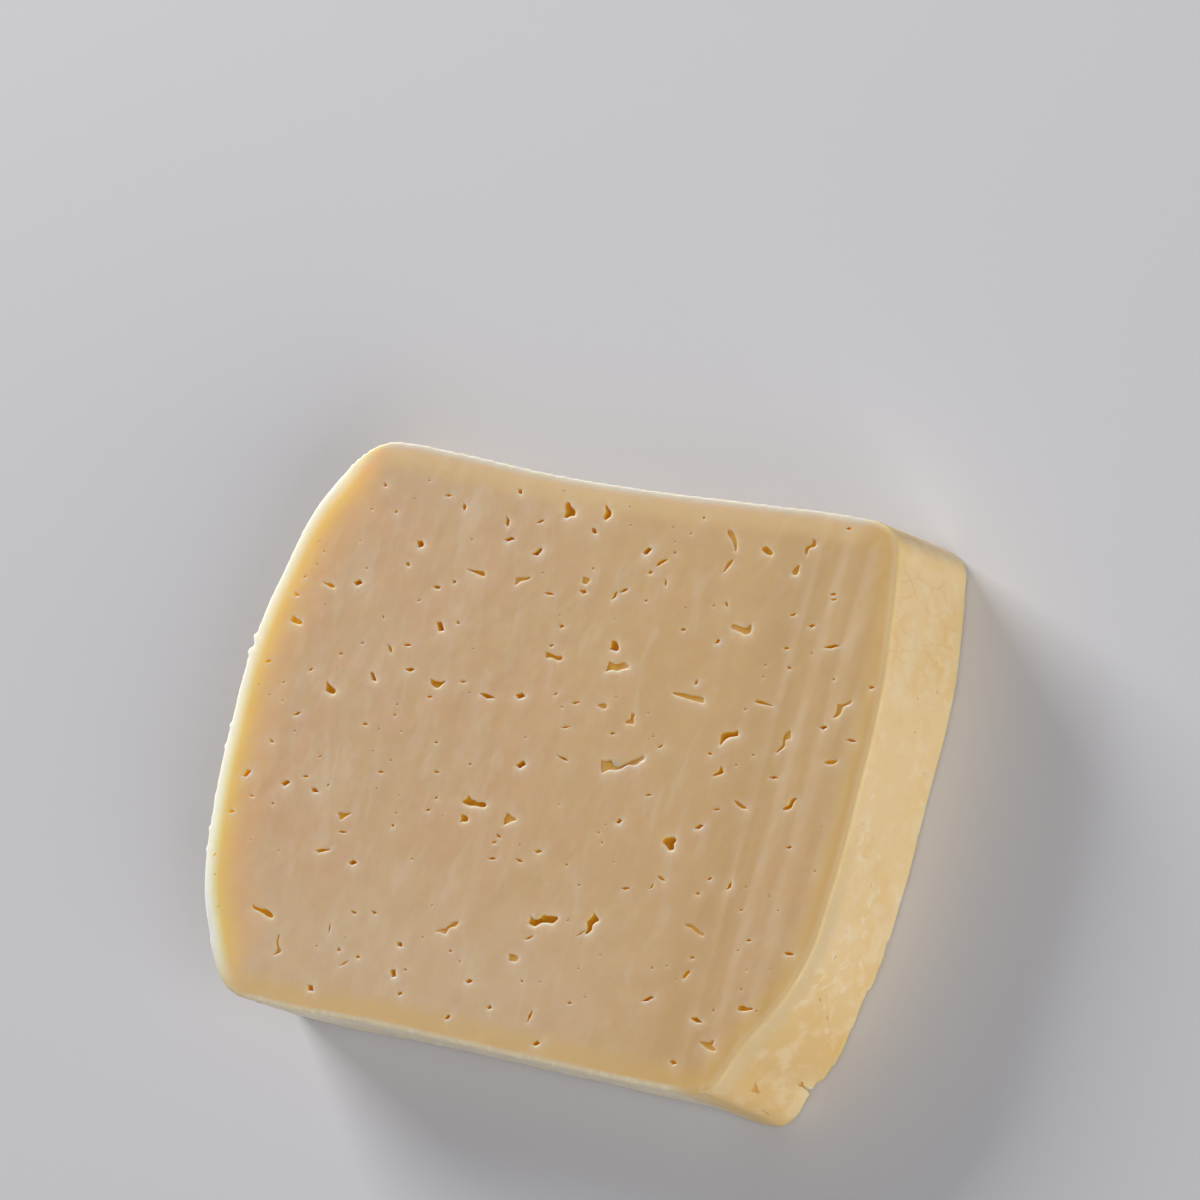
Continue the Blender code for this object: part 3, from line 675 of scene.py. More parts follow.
def near_openings(points, openings):
    """How close each point is to an opening, from 0 to 1, more so on the side away from the light."""
    outline = np.vstack([opening.centre + opening.outline for opening in openings])
    facing = np.vstack([outline_normals(opening.outline) for opening in openings]) @ AWAY_FROM_LIGHT
    strength = np.concatenate([[min(1.0, max(0.0, 0.95 * o.width - 0.10))] * len(o.outline) for o in openings])
    tree = KDTree(len(outline))
    for number, point in enumerate(outline):
        tree.insert((point[0], point[1], 0.0), number)
    tree.balance()
    close = np.zeros(len(points))
    for number, (x, y) in enumerate(points):
        _, nearest, gap = tree.find((x, y, 0.0))
        if gap < 4.0:
            side = 0.5 + 0.5 * facing[nearest]
            border = sum(height * math.exp(-(gap / reach) ** 2) for reach, height in EYE_BORDERS)
            close[number] = strength[nearest] * side * border
    return close


def back_height(points):
    """Height of the back cut, which rests on its lowest parts."""
    flat = np.column_stack((points, np.full(len(points), 50.0)))
    return np.abs(0.10 * noise_at(flat, 26.0) + 0.04 * noise_at(flat, 7.0, 5.0))


def wall_relief(section, height):
    """How far the rind stands out: cloth imprint on the flat sides, soft waves on the bulging ones."""
    count = len(section.front)
    height = np.broadcast_to(height, count)
    around = np.column_stack((section.front, height))
    flat_side = smooth_step(np.abs(section.normal[:, 1]), 0.80, 0.95)
    weft = np.cos(2 * np.pi * section.along / 3.1 + 2.5 * noise_at(around, 9.0, 15.0))
    uneven = 1.0 + 1.3 * noise_at(around, 6.0, 27.0)
    twill = np.cos(2 * np.pi * (section.along / 1.6 + height / 2.1))
    imprint = 0.045 * weft * uneven + 0.028 * twill + 0.06 * noise_at(around, 2.5, 7.0)
    waves = 0.07 * noise_at(around, 7.0, 2.0) + 0.02 * noise_at(around, 2.2, 4.0)
    return flat_side * imprint + (1.0 - flat_side) * waves


def rim_rag(section):
    """Roughness of the front rim, strongest on the left side."""
    around = np.column_stack((section.front, np.zeros(len(section.front))))
    left = smooth_step(-section.normal[:, 0], 0.2, 0.7)
    ragged = np.maximum(noise_at(around, 1.1, 11.0), -0.1) * (0.6 + noise_at(around, 9.0, 13.0))
    rag = 0.55 * ragged
    for y, half_width, out in RIM_BITS:
        rag += out * np.exp(-((section.front[:, 1] - y) / half_width) ** 4)
    return left * rag


def back_nicks(section):
    """Nicks and scallops of the back edge on the right side."""
    around = np.column_stack((section.front, np.full(len(section.front), 30.0)))
    right = smooth_step(section.normal[:, 0], 0.3, 0.7)
    low = smooth_step(section.front[:, 1], -2.0, -20.0)
    cut = 0.22 * low * np.maximum(noise_at(around, 2.6, 17.0), 0.0)
    for y, length, depth in BACK_NICKS:
        below = y - section.front[:, 1]
        cut += depth * smooth_step(below, -0.25, 0.1) * np.exp(-np.maximum(below, 0.0) / length)
    return -right * cut


def body_rows(section):
    """Rows of points from the back cut's border over the rind to the front cut's border."""
    rag = rim_rag(section)
    nicks = back_nicks(section)
    rows = []

    def add(height, inset, face_share, front=True):
        wall_share = 1.0 - face_share
        base = section.at(height, inset)
        out = wall_relief(section, height) * np.clip(1.0 - inset / (RING_WIDTH + 0.4), 0.0, 1.0)
        fade = np.clip(1.0 - inset / 1.2, 0.0, 1.0)
        out = out + fade * (rag * np.exp((height - THICKNESS) / 0.9) + nicks * np.exp(-height / 0.8))
        plane = base + section.normal * out[:, None]
        rise = front_height(base) - THICKNESS if front else back_height(base)
        lifted = np.broadcast_to(height, len(base)) + rise * face_share
        rows.append(np.column_stack((plane, lifted)))
        return wall_share

    for extra in (RING_WIDTH, RING_WIDTH / 2):
        add(0.0, BACK_RIM + extra, 1.0, front=False)
    for step in range(ROUND_STEPS, -1, -1):
        turn = math.pi / 2 * step / ROUND_STEPS
        add(BACK_RIM * (1.0 - math.sin(turn)), BACK_RIM * (1.0 - math.cos(turn)), math.sin(turn), front=False)
    top = THICKNESS - section.front_rim
    for step in range(1, WALL_ROWS):
        share = step / WALL_ROWS
        add(BACK_RIM + (top - BACK_RIM) * share, np.zeros(LOOP_COUNT), 0.0)
    for step in range(ROUND_STEPS + 1):
        turn = math.pi / 2 * step / ROUND_STEPS
        rim = section.front_rim
        add(THICKNESS - rim * (1.0 - math.sin(turn)), rim * (1.0 - math.cos(turn)), math.sin(turn))
    for extra in (RING_WIDTH / 2, RING_WIDTH):
        add(np.full(LOOP_COUNT, THICKNESS), section.front_rim + extra, 1.0)
    return rows


def inside_loop(points, loop, clear):
    """Tell for each point whether it is inside a closed loop and clear of the loop's points."""
    inside = np.zeros(len(points), bool)
    x, y = points[:, 0], points[:, 1]
    for (start_x, start_y), (end_x, end_y) in zip(np.roll(loop, 1, axis=0), loop):
        if start_y != end_y:
            slope = (end_x - start_x) / (end_y - start_y)
            inside ^= ((start_y > y) != (end_y > y)) & (x < start_x + (y - start_y) * slope)
    return inside & (gaps_to(points, loop) > clear)


def gaps_to(points, others):
    """Distance from each point to the nearest of the others."""
    tree = KDTree(len(others))
    for number, point in enumerate(others):
        tree.insert((point[0], point[1], 0.0), number)
    tree.balance()
    return np.array([tree.find((x, y, 0.0))[2] for x, y in points])


def triangular_grid(loop, spacing):
    """Triangular grid over a loop's bounding box."""
    low, high = loop.min(axis=0), loop.max(axis=0)
    rows = np.arange(low[1], high[1], spacing * math.sqrt(3) / 2)
    columns = np.arange(low[0], high[0], spacing)
    return np.array([(x + (number % 2) * spacing / 2, y) for number, y in enumerate(rows) for x in columns])


def fill_face(border, spacing, heights, rings):
    """Triangulate a cut face inside its border. Returns the new points and the triangles.

    Rings are extra points round the openings. Triangles number the border's points first.
    """
    inner = triangular_grid(border, spacing)
    if len(rings):
        rings = rings[inside_loop(rings, border, 0.3)]
        inner = np.vstack((inner[gaps_to(inner, rings) > 0.30], rings))
    inner = inner[inside_loop(inner, border, 0.3)]
    flat = [Vector(point) for point in np.vstack((border, inner))]
    count = len(border)
    edges = [(number, (number + 1) % count) for number in range(count)]
    _, _, faces, origin, _, _ = delaunay_2d_cdt(flat, edges, [], 1, 1e-5)
    triangles = [[origin[corner][0] for corner in face] for face in faces]
    return np.column_stack((inner, heights(inner))), triangles


def slice_mesh(section, openings):
    """Build the closed slice without eyes, its front cut a little raised around the openings."""
    rows = body_rows(section)
    count = LOOP_COUNT
    points = list(np.vstack(rows))
    faces = []
    for row in range(len(rows) - 1):
        for number in range(count):
            after = (number + 1) % count
            low, high = row * count, (row + 1) * count
            faces.append((low + number, low + after, high + after, high + number))
    back_points, back_triangles = fill_face(rows[0][:, :2], BACK_GRID, back_height, ())
    start = len(points)
    points += list(back_points)
    for triangle in back_triangles:
        faces.append([corner if corner < count else corner - count + start for corner in reversed(triangle)])
    rings = [o.centre + level_loop(o.outline, gap, 1.0) for o in openings for gap in EYE_RINGS if o.width > 0.4]
    front_points, front_triangles = fill_face(
        rows[-1][:, :2],
        FRONT_GRID,
        lambda points: front_height(points) + EYE_LIP * near_openings(points, openings),
        np.vstack(rings),
    )
    start, border = len(points), (len(rows) - 1) * count
    points += list(front_points)
    for triangle in front_triangles:
        faces.append([corner + border if corner < count else corner - count + start for corner in triangle])
    mesh = bpy.data.meshes.new("cheese_slice_visual")
    mesh.from_pydata([tuple(point) for point in points], [], faces)
    mesh.update()
    return mesh


class Opening(NamedTuple):
    """One opening in a surface: centre, outline round it, usual width, and depth if that is fixed."""

    centre: tuple
    outline: np.ndarray
    width: float
    depth: float = 0.0


def traced_opening(corners, depth=0.0):
    """Opening through given corners, which are rounded a little."""
    corners = np.array(corners)
    centre = corners.mean(axis=0)
    closed = np.vstack((corners, corners[:1]))
    length = np.linalg.norm(np.diff(closed, axis=0), axis=1).sum()
    area = 0.5 * abs(np.sum(np.cross(closed[:-1], closed[1:])))
    outline = softened(even_loop(corners - centre, max(12, int(length / EYE_STEP))))
    return Opening(tuple(centre), level_loop(outline, SOFTENING_LOSS, 1.0), 3.0 * area / length, depth)


def drawn_opening(eye, draw, side_points):
    """Opening with four corners and uneven sides, from a row of an eye table."""
    x, y, length, width, tilt, top, bottom = eye
    corners = (
        Vector((-1.0, draw.uniform(-0.35, 0.35))),
        Vector((bottom, -1.0)),
        Vector((1.0, draw.uniform(-0.35, 0.35))),
        Vector((top, 1.0)),
    )
    outline = []
    for number, corner in enumerate(corners):
        after = corners[(number + 1) % 4]
        pull = (corner + after) / 2 * (1.0 - draw.uniform(-1.0, 1.0) * EYE_SIDE_BEND)
        for step in range(side_points):
            share = step / side_points
            point = corner * (1 - share) ** 2 + pull * 2 * share * (1 - share) + after * share ** 2
            outline.append(point * (1.0 + draw.uniform(-EYE_RAGGED, EYE_RAGGED)))
    outline = np.array([tuple(point) for point in outline]) * (length * EYE_STRETCH / 2, width / 2)
    turn = math.radians(tilt)
    spin = np.array(((math.cos(turn), math.sin(turn)), (-math.sin(turn), math.cos(turn))))
    return Opening((x, y), softened(outline) @ spin, width)


def softened(outline):
    """The outline with each point moved towards its neighbours."""
    return 0.25 * np.roll(outline, 1, axis=0) + 0.5 * outline + 0.25 * np.roll(outline, -1, axis=0)


def outline_normals(outline):
    """Unit normals of a counter-clockwise outline, pointing out."""
    run = np.roll(outline, -1, axis=0) - np.roll(outline, 1, axis=0)
    run /= np.maximum(np.linalg.norm(run, axis=1), 1e-6)[:, None]
    return np.column_stack((run[:, 1], -run[:, 0]))


def level_loop(outline, shift, size):
    """The outline at one level of the hollow."""
    return outline * size + outline_normals(outline) * shift


def hollow_points(opening, draw):
    """Points and faces of an opening's closed cutter, flared at the surface, round its centre.

    The surface is at height 0 and z points out of the cheese.
    """
    soft = min(1.0, 0.45 + 0.3 * opening.width)
    chance = draw.uniform(*EYE_DEPTH_CHANCE) if opening.width < 0.9 else 1.0
    depth = opening.depth or EYE_LEAST_DEPTH + EYE_DEPTH_SHARE * opening.width * chance
    loops = []
    for height, shift in EYE_RIM_LEVELS:
        loops.append((level_loop(opening.outline, shift * soft, 1.0), height if height > 0.1 else height * soft))
    lean = np.array((draw.uniform(-0.25, 0.25), draw.uniform(-0.25, 0.25))) * depth
    for share, size in EYE_CUP_LEVELS:
        loops.append((level_loop(opening.outline, 0.02, size) + lean * share, -0.22 * soft - depth * share))
    points = np.vstack([np.column_stack((loop, np.full(len(loop), height))) for loop, height in loops])
    count = len(opening.outline)
    faces = [list(range(count)), list(range(len(points) - count, len(points)))]
    for row in range(len(loops) - 1):
        low, high = row * count, (row + 1) * count
        for number in range(count):
            after = (number + 1) % count
            faces.append((low + number, low + after, high + after, high + number))
    return points, faces


def add_cutter(name, points, faces, collection):
    """Make a closed cutter object from points and faces."""
    mesh = bpy.data.meshes.new(name)
    mesh.from_pydata(points, [], faces)
    shape = bmesh.new()
    shape.from_mesh(mesh)
    bmesh.ops.recalc_face_normals(shape, faces=shape.faces)
    shape.to_mesh(mesh)
    shape.free()
    cutter = bpy.data.objects.new(name, mesh)
    cutter.hide_render = True
    collection.objects.link(cutter)


def inside_section(x, y, margin):
    """Tell whether a point is inside the cross-section by at least the margin."""
    reach_x = abs(x) / (HALF_WIDTH - margin)
    reach_y = abs(y) / (HALF_HEIGHT - margin)
    return reach_x ** SECTION_SQUARENESS + reach_y ** SECTION_SQUARENESS < 1.0


def back_eyes():
    """Spread the larger eyes of the back cut by the same rule as on the plain solid."""
    draw = random.Random(BACK_SEED)
    eyes = []
    while len(eyes) < BACK_EYE_COUNT:
        x = draw.uniform(-HALF_WIDTH, HALF_WIDTH)
        y = draw.uniform(-HALF_HEIGHT, HALF_HEIGHT)
        clear_of_others = all(math.hypot(x - eye[0], y - eye[1]) > BACK_EYE_SPACING for eye in eyes)
        clear_of_rest = math.hypot(x, y) > BACK_EYE_REST_CLEARANCE
        if clear_of_others and clear_of_rest and inside_section(x, y, BACK_EYE_EDGE_MARGIN):
            length = draw.triangular(BACK_EYE_LENGTHS[0], BACK_EYE_LENGTHS[1], BACK_EYE_LENGTHS[0])
            width = draw.uniform(*BACK_EYE_WIDTHS)
            eyes.append((x, y, length, width, draw.uniform(-EYE_TILT, EYE_TILT), 0.2, -0.3))
    return eyes


def spread_eyes(count, lengths, taken, draw, margin, slimness):
    """Spread eyes of random size over a cut, clear of each other and of those already taken."""
    eyes = []
    tries = 0
    while len(eyes) < count and tries < 20000:
        tries += 1
        x = draw.uniform(-HALF_WIDTH, HALF_WIDTH)
        y = draw.uniform(-HALF_HEIGHT, HALF_HEIGHT)
        length = draw.triangular(lengths[0], lengths[1], lengths[0])
        clear = all(math.hypot(x - e[0], y - e[1]) > (length + e[2]) / 2 + EYE_GAP for e in taken + eyes)
        if clear and inside_section(x, y, margin):
            width = min(length * draw.uniform(*slimness), 1.8)
            tilt = draw.uniform(-EYE_TILT, EYE_TILT)
            eyes.append((x, y, length, width, tilt, draw.uniform(-0.5, 0.5), draw.uniform(-0.5, 0.5)))
    return eyes


def make_openings():
    """Return the openings of the front cut and of the back cut."""
    draw = random.Random(SEED)
    front = []
    for number, corners in enumerate(FRONT_SHAPES):
        front.append(traced_opening(corners, SHALLOW_DEPTH if number in SHALLOW_SHAPES else 0.0))
    taken = [(*opening.centre, np.ptp(opening.outline, axis=0).max()) for opening in front] + list(FRONT_EYES)
    front += [drawn_opening(eye, draw, 7) for eye in FRONT_EYES]
    pinholes = spread_eyes(PINHOLE_COUNT, PINHOLE_LENGTHS, taken, draw, 3.5, (0.4, 0.8))
    front += [drawn_opening(eye, draw, 3) for eye in pinholes]
    back = back_eyes()
    back += spread_eyes(SMALL_BACK_EYE_COUNT, SMALL_BACK_EYE_LENGTHS, back, draw, 5.0, (0.3, 0.7))
    pinholes = spread_eyes(PINHOLE_COUNT // 2, PINHOLE_LENGTHS, back, draw, 3.5, (0.4, 0.8))
    back = [drawn_opening(eye, draw, 6) for eye in back] + [drawn_opening(eye, draw, 3) for eye in pinholes]
    return front, back


def make_eye_cutters(collection, front, back):
    """Make the cutters of all openings in both cuts."""
    draw = random.Random(SEED)
    for name, openings, height_at, facing in (("front", front, front_height, 1), ("back", back, back_height, -1)):
        heights = height_at(np.array([opening.centre for opening in openings]))
        for number, (opening, height) in enumerate(zip(openings, heights)):
            points, faces = hollow_points(opening, draw)
            placed = points * (1, 1, facing) + (*opening.centre, height)
            add_cutter(f"{name}_eye_{number}", placed, faces, collection)


def wall_frame(section, x, y, height):
    """Nearest place on the rind at a height, with its directions along and out."""
    loop = section.at(height, 0.0)
    number = int(np.argmin(np.hypot(loop[:, 0] - x, loop[:, 1] - y)))
    out = np.append(section.normal[number], 0.0)
    along = np.cross((0.0, 0.0, 1.0), out)
    place = np.append(loop[number] + section.normal[number] * wall_relief(section, height)[number], height)
    return place, along, out


def make_rind_cutters(collection, section):
    """Make the cutters of the notch, of the pit and of small pits all round the bulging sides."""
    draw = random.Random(SEED + 1)
    pits = list(RIND_CRACKS)
    while len(pits) < RIND_PIT_COUNT:
        side = draw.choice((-1, 1))
        y, height = draw.uniform(-38, 40), draw.uniform(2.5, THICKNESS - 3.5)
        length = draw.uniform(0.3, 0.8)
        width = length * draw.uniform(0.35, 0.8)
        pits.append((side * HALF_WIDTH, y, height, length, width, draw.uniform(-40, 40), 0.3, -0.2))
    openings = [(pit[:3], drawn_opening((0.0, 0.0, *pit[3:]), draw, 5)) for pit in pits]
    openings.append((PIT_PLACE, traced_opening(PIT_SHAPE)))
    for number, (where, opening) in enumerate(openings):
        place, along, out = wall_frame(section, *where)
        opening = opening._replace(width=opening.width * RIND_PIT_SHALLOWNESS)
        points, faces = hollow_points(opening, draw)
        axes = np.array((along, (0.0, 0.0, 1.0), out))
        shift = np.append(opening.centre, 0.0) @ axes
        add_cutter(f"rind_pit_{number}", points @ axes + place + shift, faces, collection)
    place, along, out = wall_frame(section, *NOTCH_PLACE, 0.0)
    place = place * (1, 1, 0)
    left = [along * -half + (0, 0, height) + along * drift for height, half, drift in NOTCH_LEVELS]
    right = [along * half + (0, 0, height) + along * drift for height, half, drift in NOTCH_LEVELS]
    outline = [place + point for point in left + right[::-1]]
    count = len(outline)
    points = [point - out * NOTCH_DEPTH for point in outline] + [point + out * NOTCH_DEPTH for point in outline]
    faces = [list(range(count)), list(range(count, 2 * count))]
    for number in range(count):
        after = (number + 1) % count
        faces.append((number, after, count + after, count + number))
    add_cutter("notch", points, faces, collection)


def cut_out(mesh, collection):
    """Cut every object of the collection out of the mesh and return the new mesh."""
    whole = bpy.data.objects.new("whole", mesh)
    bpy.context.scene.collection.objects.link(whole)
    cut = whole.modifiers.new("cut", "BOOLEAN")
    cut.operation = "DIFFERENCE"
    cut.operand_type = "COLLECTION"
    cut.collection = collection
    cut.solver = "MANIFOLD"
    bpy.context.view_layer.update()
    depsgraph = bpy.context.evaluated_depsgraph_get()
    result = bpy.data.meshes.new_from_object(whole.evaluated_get(depsgraph))
    bpy.data.objects.remove(whole, do_unlink=True)
    for cutter in list(collection.objects):
        bpy.data.objects.remove(cutter, do_unlink=True)
    bpy.data.collections.remove(collection)
    return result


def store(mesh, name, values):
    """Store one number for each point of the mesh, for its material to read."""
    layer = mesh.attributes.new(name, "FLOAT", "POINT")
    layer.data.foreach_set("value", np.asarray(values, np.float32))


def mark_surface(mesh, section, openings):
    """Store what the material reads at each point.

    edge: distance to the rind; sunk: depth in an eye or pit, which also sets the painted shade and glow inside it;
    pale: closeness to the left or top rim, whose whitish rim is partly crumbly cheese and partly painted rim light;
    glow: closeness to the left rim, for a painted glow of light shining through; soft: closeness to the right rim,
    whose rounding is painted lighter against its shade; halo_highlight: closeness to an eye, for whitish smears and
    a painted highlight.
    """
    count = len(mesh.vertices)
    points = np.empty(count * 3, np.float32)
    mesh.vertices.foreach_get("co", points)
    points = points.reshape(-1, 3).astype(float)
    flat, height = points[:, :2], points[:, 2]
    share = np.clip(1.0 - height / THICKNESS, 0.0, 1.0)[:, None]
    unflared = flat - corner_shift(flat) * share
    tree = KDTree(LOOP_COUNT)
    for number, point in enumerate(section.front):
        tree.insert((point[0], point[1], 0.0), number)
    tree.balance()
    found = [tree.find((x, y, 0.0)) for x, y in unflared]
    edge = np.array([item[2] for item in found])
    nearest = [item[1] for item in found]
    normal, facing = section.normal[nearest], section.facing[nearest]
    inner = edge > 0.8
    front = inner & (height > THICKNESS - 3.0)
    back = inner & (height < 3.0)
    side = (height > 1.2) & (height < THICKNESS - 2.5)
    sunk = np.zeros(count)
    sunk[front] = front_height(flat[front]) - height[front]
    sunk[back] = height[back] - back_height(flat[back])
    small = KDTree(len(openings))
    for number, opening in enumerate(openings):
        small.insert((*opening.centre, 0.0 if opening.width < 0.6 else 9.0), number)
    small.balance()
    # Small holes count 2.2 times as deep, so they get more of the painted eye shade
    dipped = np.flatnonzero(front & (sunk > 0.01))
    reach = np.array([small.find((x, y, 0.0))[2] for x, y in flat[dipped]])
    sunk[dipped[reach < 0.9]] *= 2.2
    sunk = smooth_step(sunk, 0.03, 0.38) * smooth_step(edge, 1.0, 1.8)
    # Pits in the rind take the same painted shade
    sunk[side] = smooth_step(edge[side], 0.25, 0.80)
    left = smooth_step(-facing[:, 0], 0.25, 0.85)
    right = smooth_step(normal[:, 0], 0.45, 0.80)
    # The whitish left and top rim is partly crumbly cheese and partly painted rim light where the light from the
    # upper left strikes it
    top = smooth_step(facing[:, 1], 0.72, 0.97)
    top *= 0.43 * smooth_step(edge, 1.8, 0.5) + 0.22 * smooth_step(edge, 6.0, 0.8)
    near_front = smooth_step(height, THICKNESS - 2.5, THICKNESS - 0.6)
    rim = smooth_step(height, THICKNESS - 1.5, THICKNESS - 0.4)
    pale = np.maximum(left * smooth_step(edge, 3.8, 1.0), top)
    crest = right * smooth_step(flat[:, 1], 8.0, -22.0) * smooth_step(edge, 0.30, 0.08)
    crest *= smooth_step(height, THICKNESS - 5.0, THICKNESS - 1.8)
    # Right rim's rounding, which the material paints yellowish and lighter to cancel the shade that falls in it
    soft = right * near_front * smooth_step(edge, 1.9, 0.8) * smooth_step(edge, 0.08, 0.30)
    mouth = np.linalg.norm(points - (*NOTCH_PLACE, 1.5), axis=1)
    halo_highlight = np.zeros(count)
    halo_highlight[front] = near_openings(flat[front], openings)
    store(mesh, "edge", edge)
    store(mesh, "sunk", sunk)
    store(mesh, "pale", pale * rim)
    store(mesh, "crest", crest)
    store(mesh, "cloth", smooth_step(np.abs(facing[:, 1]), 0.78, 0.98))
    store(mesh, "dry", np.exp(-(mouth / 2.4) ** 2))
    # Reach of the painted glow of light shining through the left rim: narrow yellow glow, wider rosy glow
    store(mesh, "glow", left * near_front * smooth_step(edge, 9.5, 2.6))
    store(mesh, "painted_glow_reach", left * near_front * smooth_step(edge, 16.0, 6.0))
    store(mesh, "soft", soft)
    store(mesh, "halo_highlight", halo_highlight * (1.0 - sunk))


def build_slice():
    """Make the finished slice and put it in the plain solid's place."""
    section = Section()
    front, back = make_openings()
    mesh = slice_mesh(section, front)
    cutters = bpy.data.collections.new("cutters")
    bpy.context.scene.collection.children.link(cutters)
    make_eye_cutters(cutters, front, back)
    make_rind_cutters(cutters, section)
    mesh = cut_out(mesh, cutters)
    mark_surface(mesh, section, front)
    mesh.transform(Matrix.Scale(MM, 4))
    mesh.name = "cheese_slice_visual"
    piece = bpy.data.objects.new("cheese_slice_visual", mesh)
    bpy.context.scene.collection.objects.link(piece)
    mesh.shade_smooth()
    mesh.set_sharp_from_angle(angle=math.radians(60))
    mesh.materials.clear()
    mesh.materials.append(cheese_material())
    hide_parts("cheese_slice")
    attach(piece, "root")
    return piece


class Nodes:
    """Short calls for building a material's node tree."""

    def __init__(self, name):
        self.material = bpy.data.materials.new(name)
        self.material.use_nodes = True
        self.tree = self.material.node_tree
        self.surface = self.tree.nodes["Principled BSDF"]

    def add(self, kind, **settings):
        """Add a node and set its properties."""
        node = self.tree.nodes.new(kind)
        for key, value in settings.items():
            setattr(node, key, value)
        return node

    def link(self, source, target):
        """Link an output to an input."""
        self.tree.links.new(source, target)

    def attribute(self, name):
        """Read a number stored on the mesh."""
        return self.add("ShaderNodeAttribute", attribute_name=name).outputs["Fac"]

    def noise(self, place, scale, detail=2.0, stretch=None, distortion=0.0):
        """Noise from 0 to 1 over a place in metres; scale is bumps in a metre."""
        if stretch is not None:
            mapping = self.add("ShaderNodeMapping")
            mapping.inputs["Scale"].default_value = stretch
            self.link(place, mapping.inputs["Vector"])
            place = mapping.outputs["Vector"]
        node = self.add("ShaderNodeTexNoise")
        node.inputs["Scale"].default_value = scale
        node.inputs["Detail"].default_value = detail
        node.inputs["Distortion"].default_value = distortion
        self.link(place, node.inputs["Vector"])
        return node.outputs["Fac"]

    def ramp(self, value, start, end, low=0.0, high=1.0):
        """Map a number smoothly from start..end to low..high."""
        node = self.add("ShaderNodeMapRange", interpolation_type="SMOOTHSTEP")
        node.inputs["From Min"].default_value = start
        node.inputs["From Max"].default_value = end
        node.inputs["To Min"].default_value = low
        node.inputs["To Max"].default_value = high
        self.link(value, node.inputs["Value"])
        return node.outputs["Result"]

    def math(self, operation, first, second):
        """Combine two numbers, each an output or a plain number."""
        node = self.add("ShaderNodeMath", operation=operation)
        for socket, value in zip(node.inputs, (first, second)):
            if isinstance(value, (int, float)):
                socket.default_value = value
            else:
                self.link(value, socket)
        return node.outputs[0]

    def mix(self, share, first, second):
        """Blend two colours, each an output or a plain colour."""
        node = self.add("ShaderNodeMix", data_type="RGBA")
        if isinstance(share, (int, float)):
            node.inputs[0].default_value = share
        else:
            self.link(share, node.inputs[0])
        for socket, colour in ((node.inputs[6], first), (node.inputs[7], second)):
            if isinstance(colour, tuple):
                socket.default_value = (*colour, 1.0)
            else:
                self.link(colour, socket)
        return node.outputs[2]


# Colours of the cheese, linear
FACE_ROSY = (0.80, 0.53, 0.315)
FACE_GREENISH = (0.785, 0.555, 0.325)
FACE_PALE = (0.82, 0.625, 0.41)
FACE_YELLOW = (0.795, 0.54, 0.25)
FACE_DEEP = (0.74, 0.495, 0.24)
# Whitish smears, also used for the painted highlight on the lit flanks of the knife ripples
SMEAR_AND_RIPPLE_HIGHLIGHT = (0.88, 0.71, 0.52)
BAND_COLOUR = (0.82, 0.58, 0.265)
BAND_GOLD = (0.80, 0.55, 0.215)
BAND_LIGHT = (0.89, 0.63, 0.265)
# Yellowish band of the right rim's rounding, painted lighter to cancel its shade
SOFT_RIM_PAINTED_LIGHT = (0.81, 0.62, 0.34)
CREST_COLOUR = (0.70, 0.55, 0.32)
RIND_COLOUR = (0.84, 0.64, 0.35)
RIND_DEEP = (0.82, 0.60, 0.29)
RIND_TAIL = (0.72, 0.50, 0.215)
SCUFF_COLOUR = (0.88, 0.75, 0.54)
CLOTH_COLOUR = (0.80, 0.68, 0.50)
CLOTH_FLECK = (0.90, 0.83, 0.70)
DRY_COLOUR = (0.90, 0.75, 0.49)
# Whitish rim, partly crumbly cheese and partly painted rim light; darker at the top, where the lamp lights the rim
# more
PALE_HIGH = (0.80, 0.765, 0.74)
PALE_LOW = (1.0, 0.93, 0.83)
# Painted glow of light shining through the left rim, yellow near it and rosy further in
GLOW_COLOUR = (0.99, 0.685, 0.22)
ROSY_GLOW = (0.94, 0.58, 0.28)
# Painted highlight round the eyes, mixed with whitish smears
HALO_HIGHLIGHT_COLOUR = (1.0, 0.84, 0.68)
# Painted shade and glow inside the eyes and pits, brighter near the left rim
EYE_SHADE_AND_GLOW = (0.78, 0.43, 0.012)
EYE_GLOW = (1.0, 0.60, 0.01)
CRACK_COLOUR = (0.80, 0.55, 0.25)

# How far light travels inside the cheese, in metres: in general, and more at thin rims and eyes
SCATTER = 0.0022
GLOW_SCATTER = 0.0075
EYE_SCATTER = 0.0030


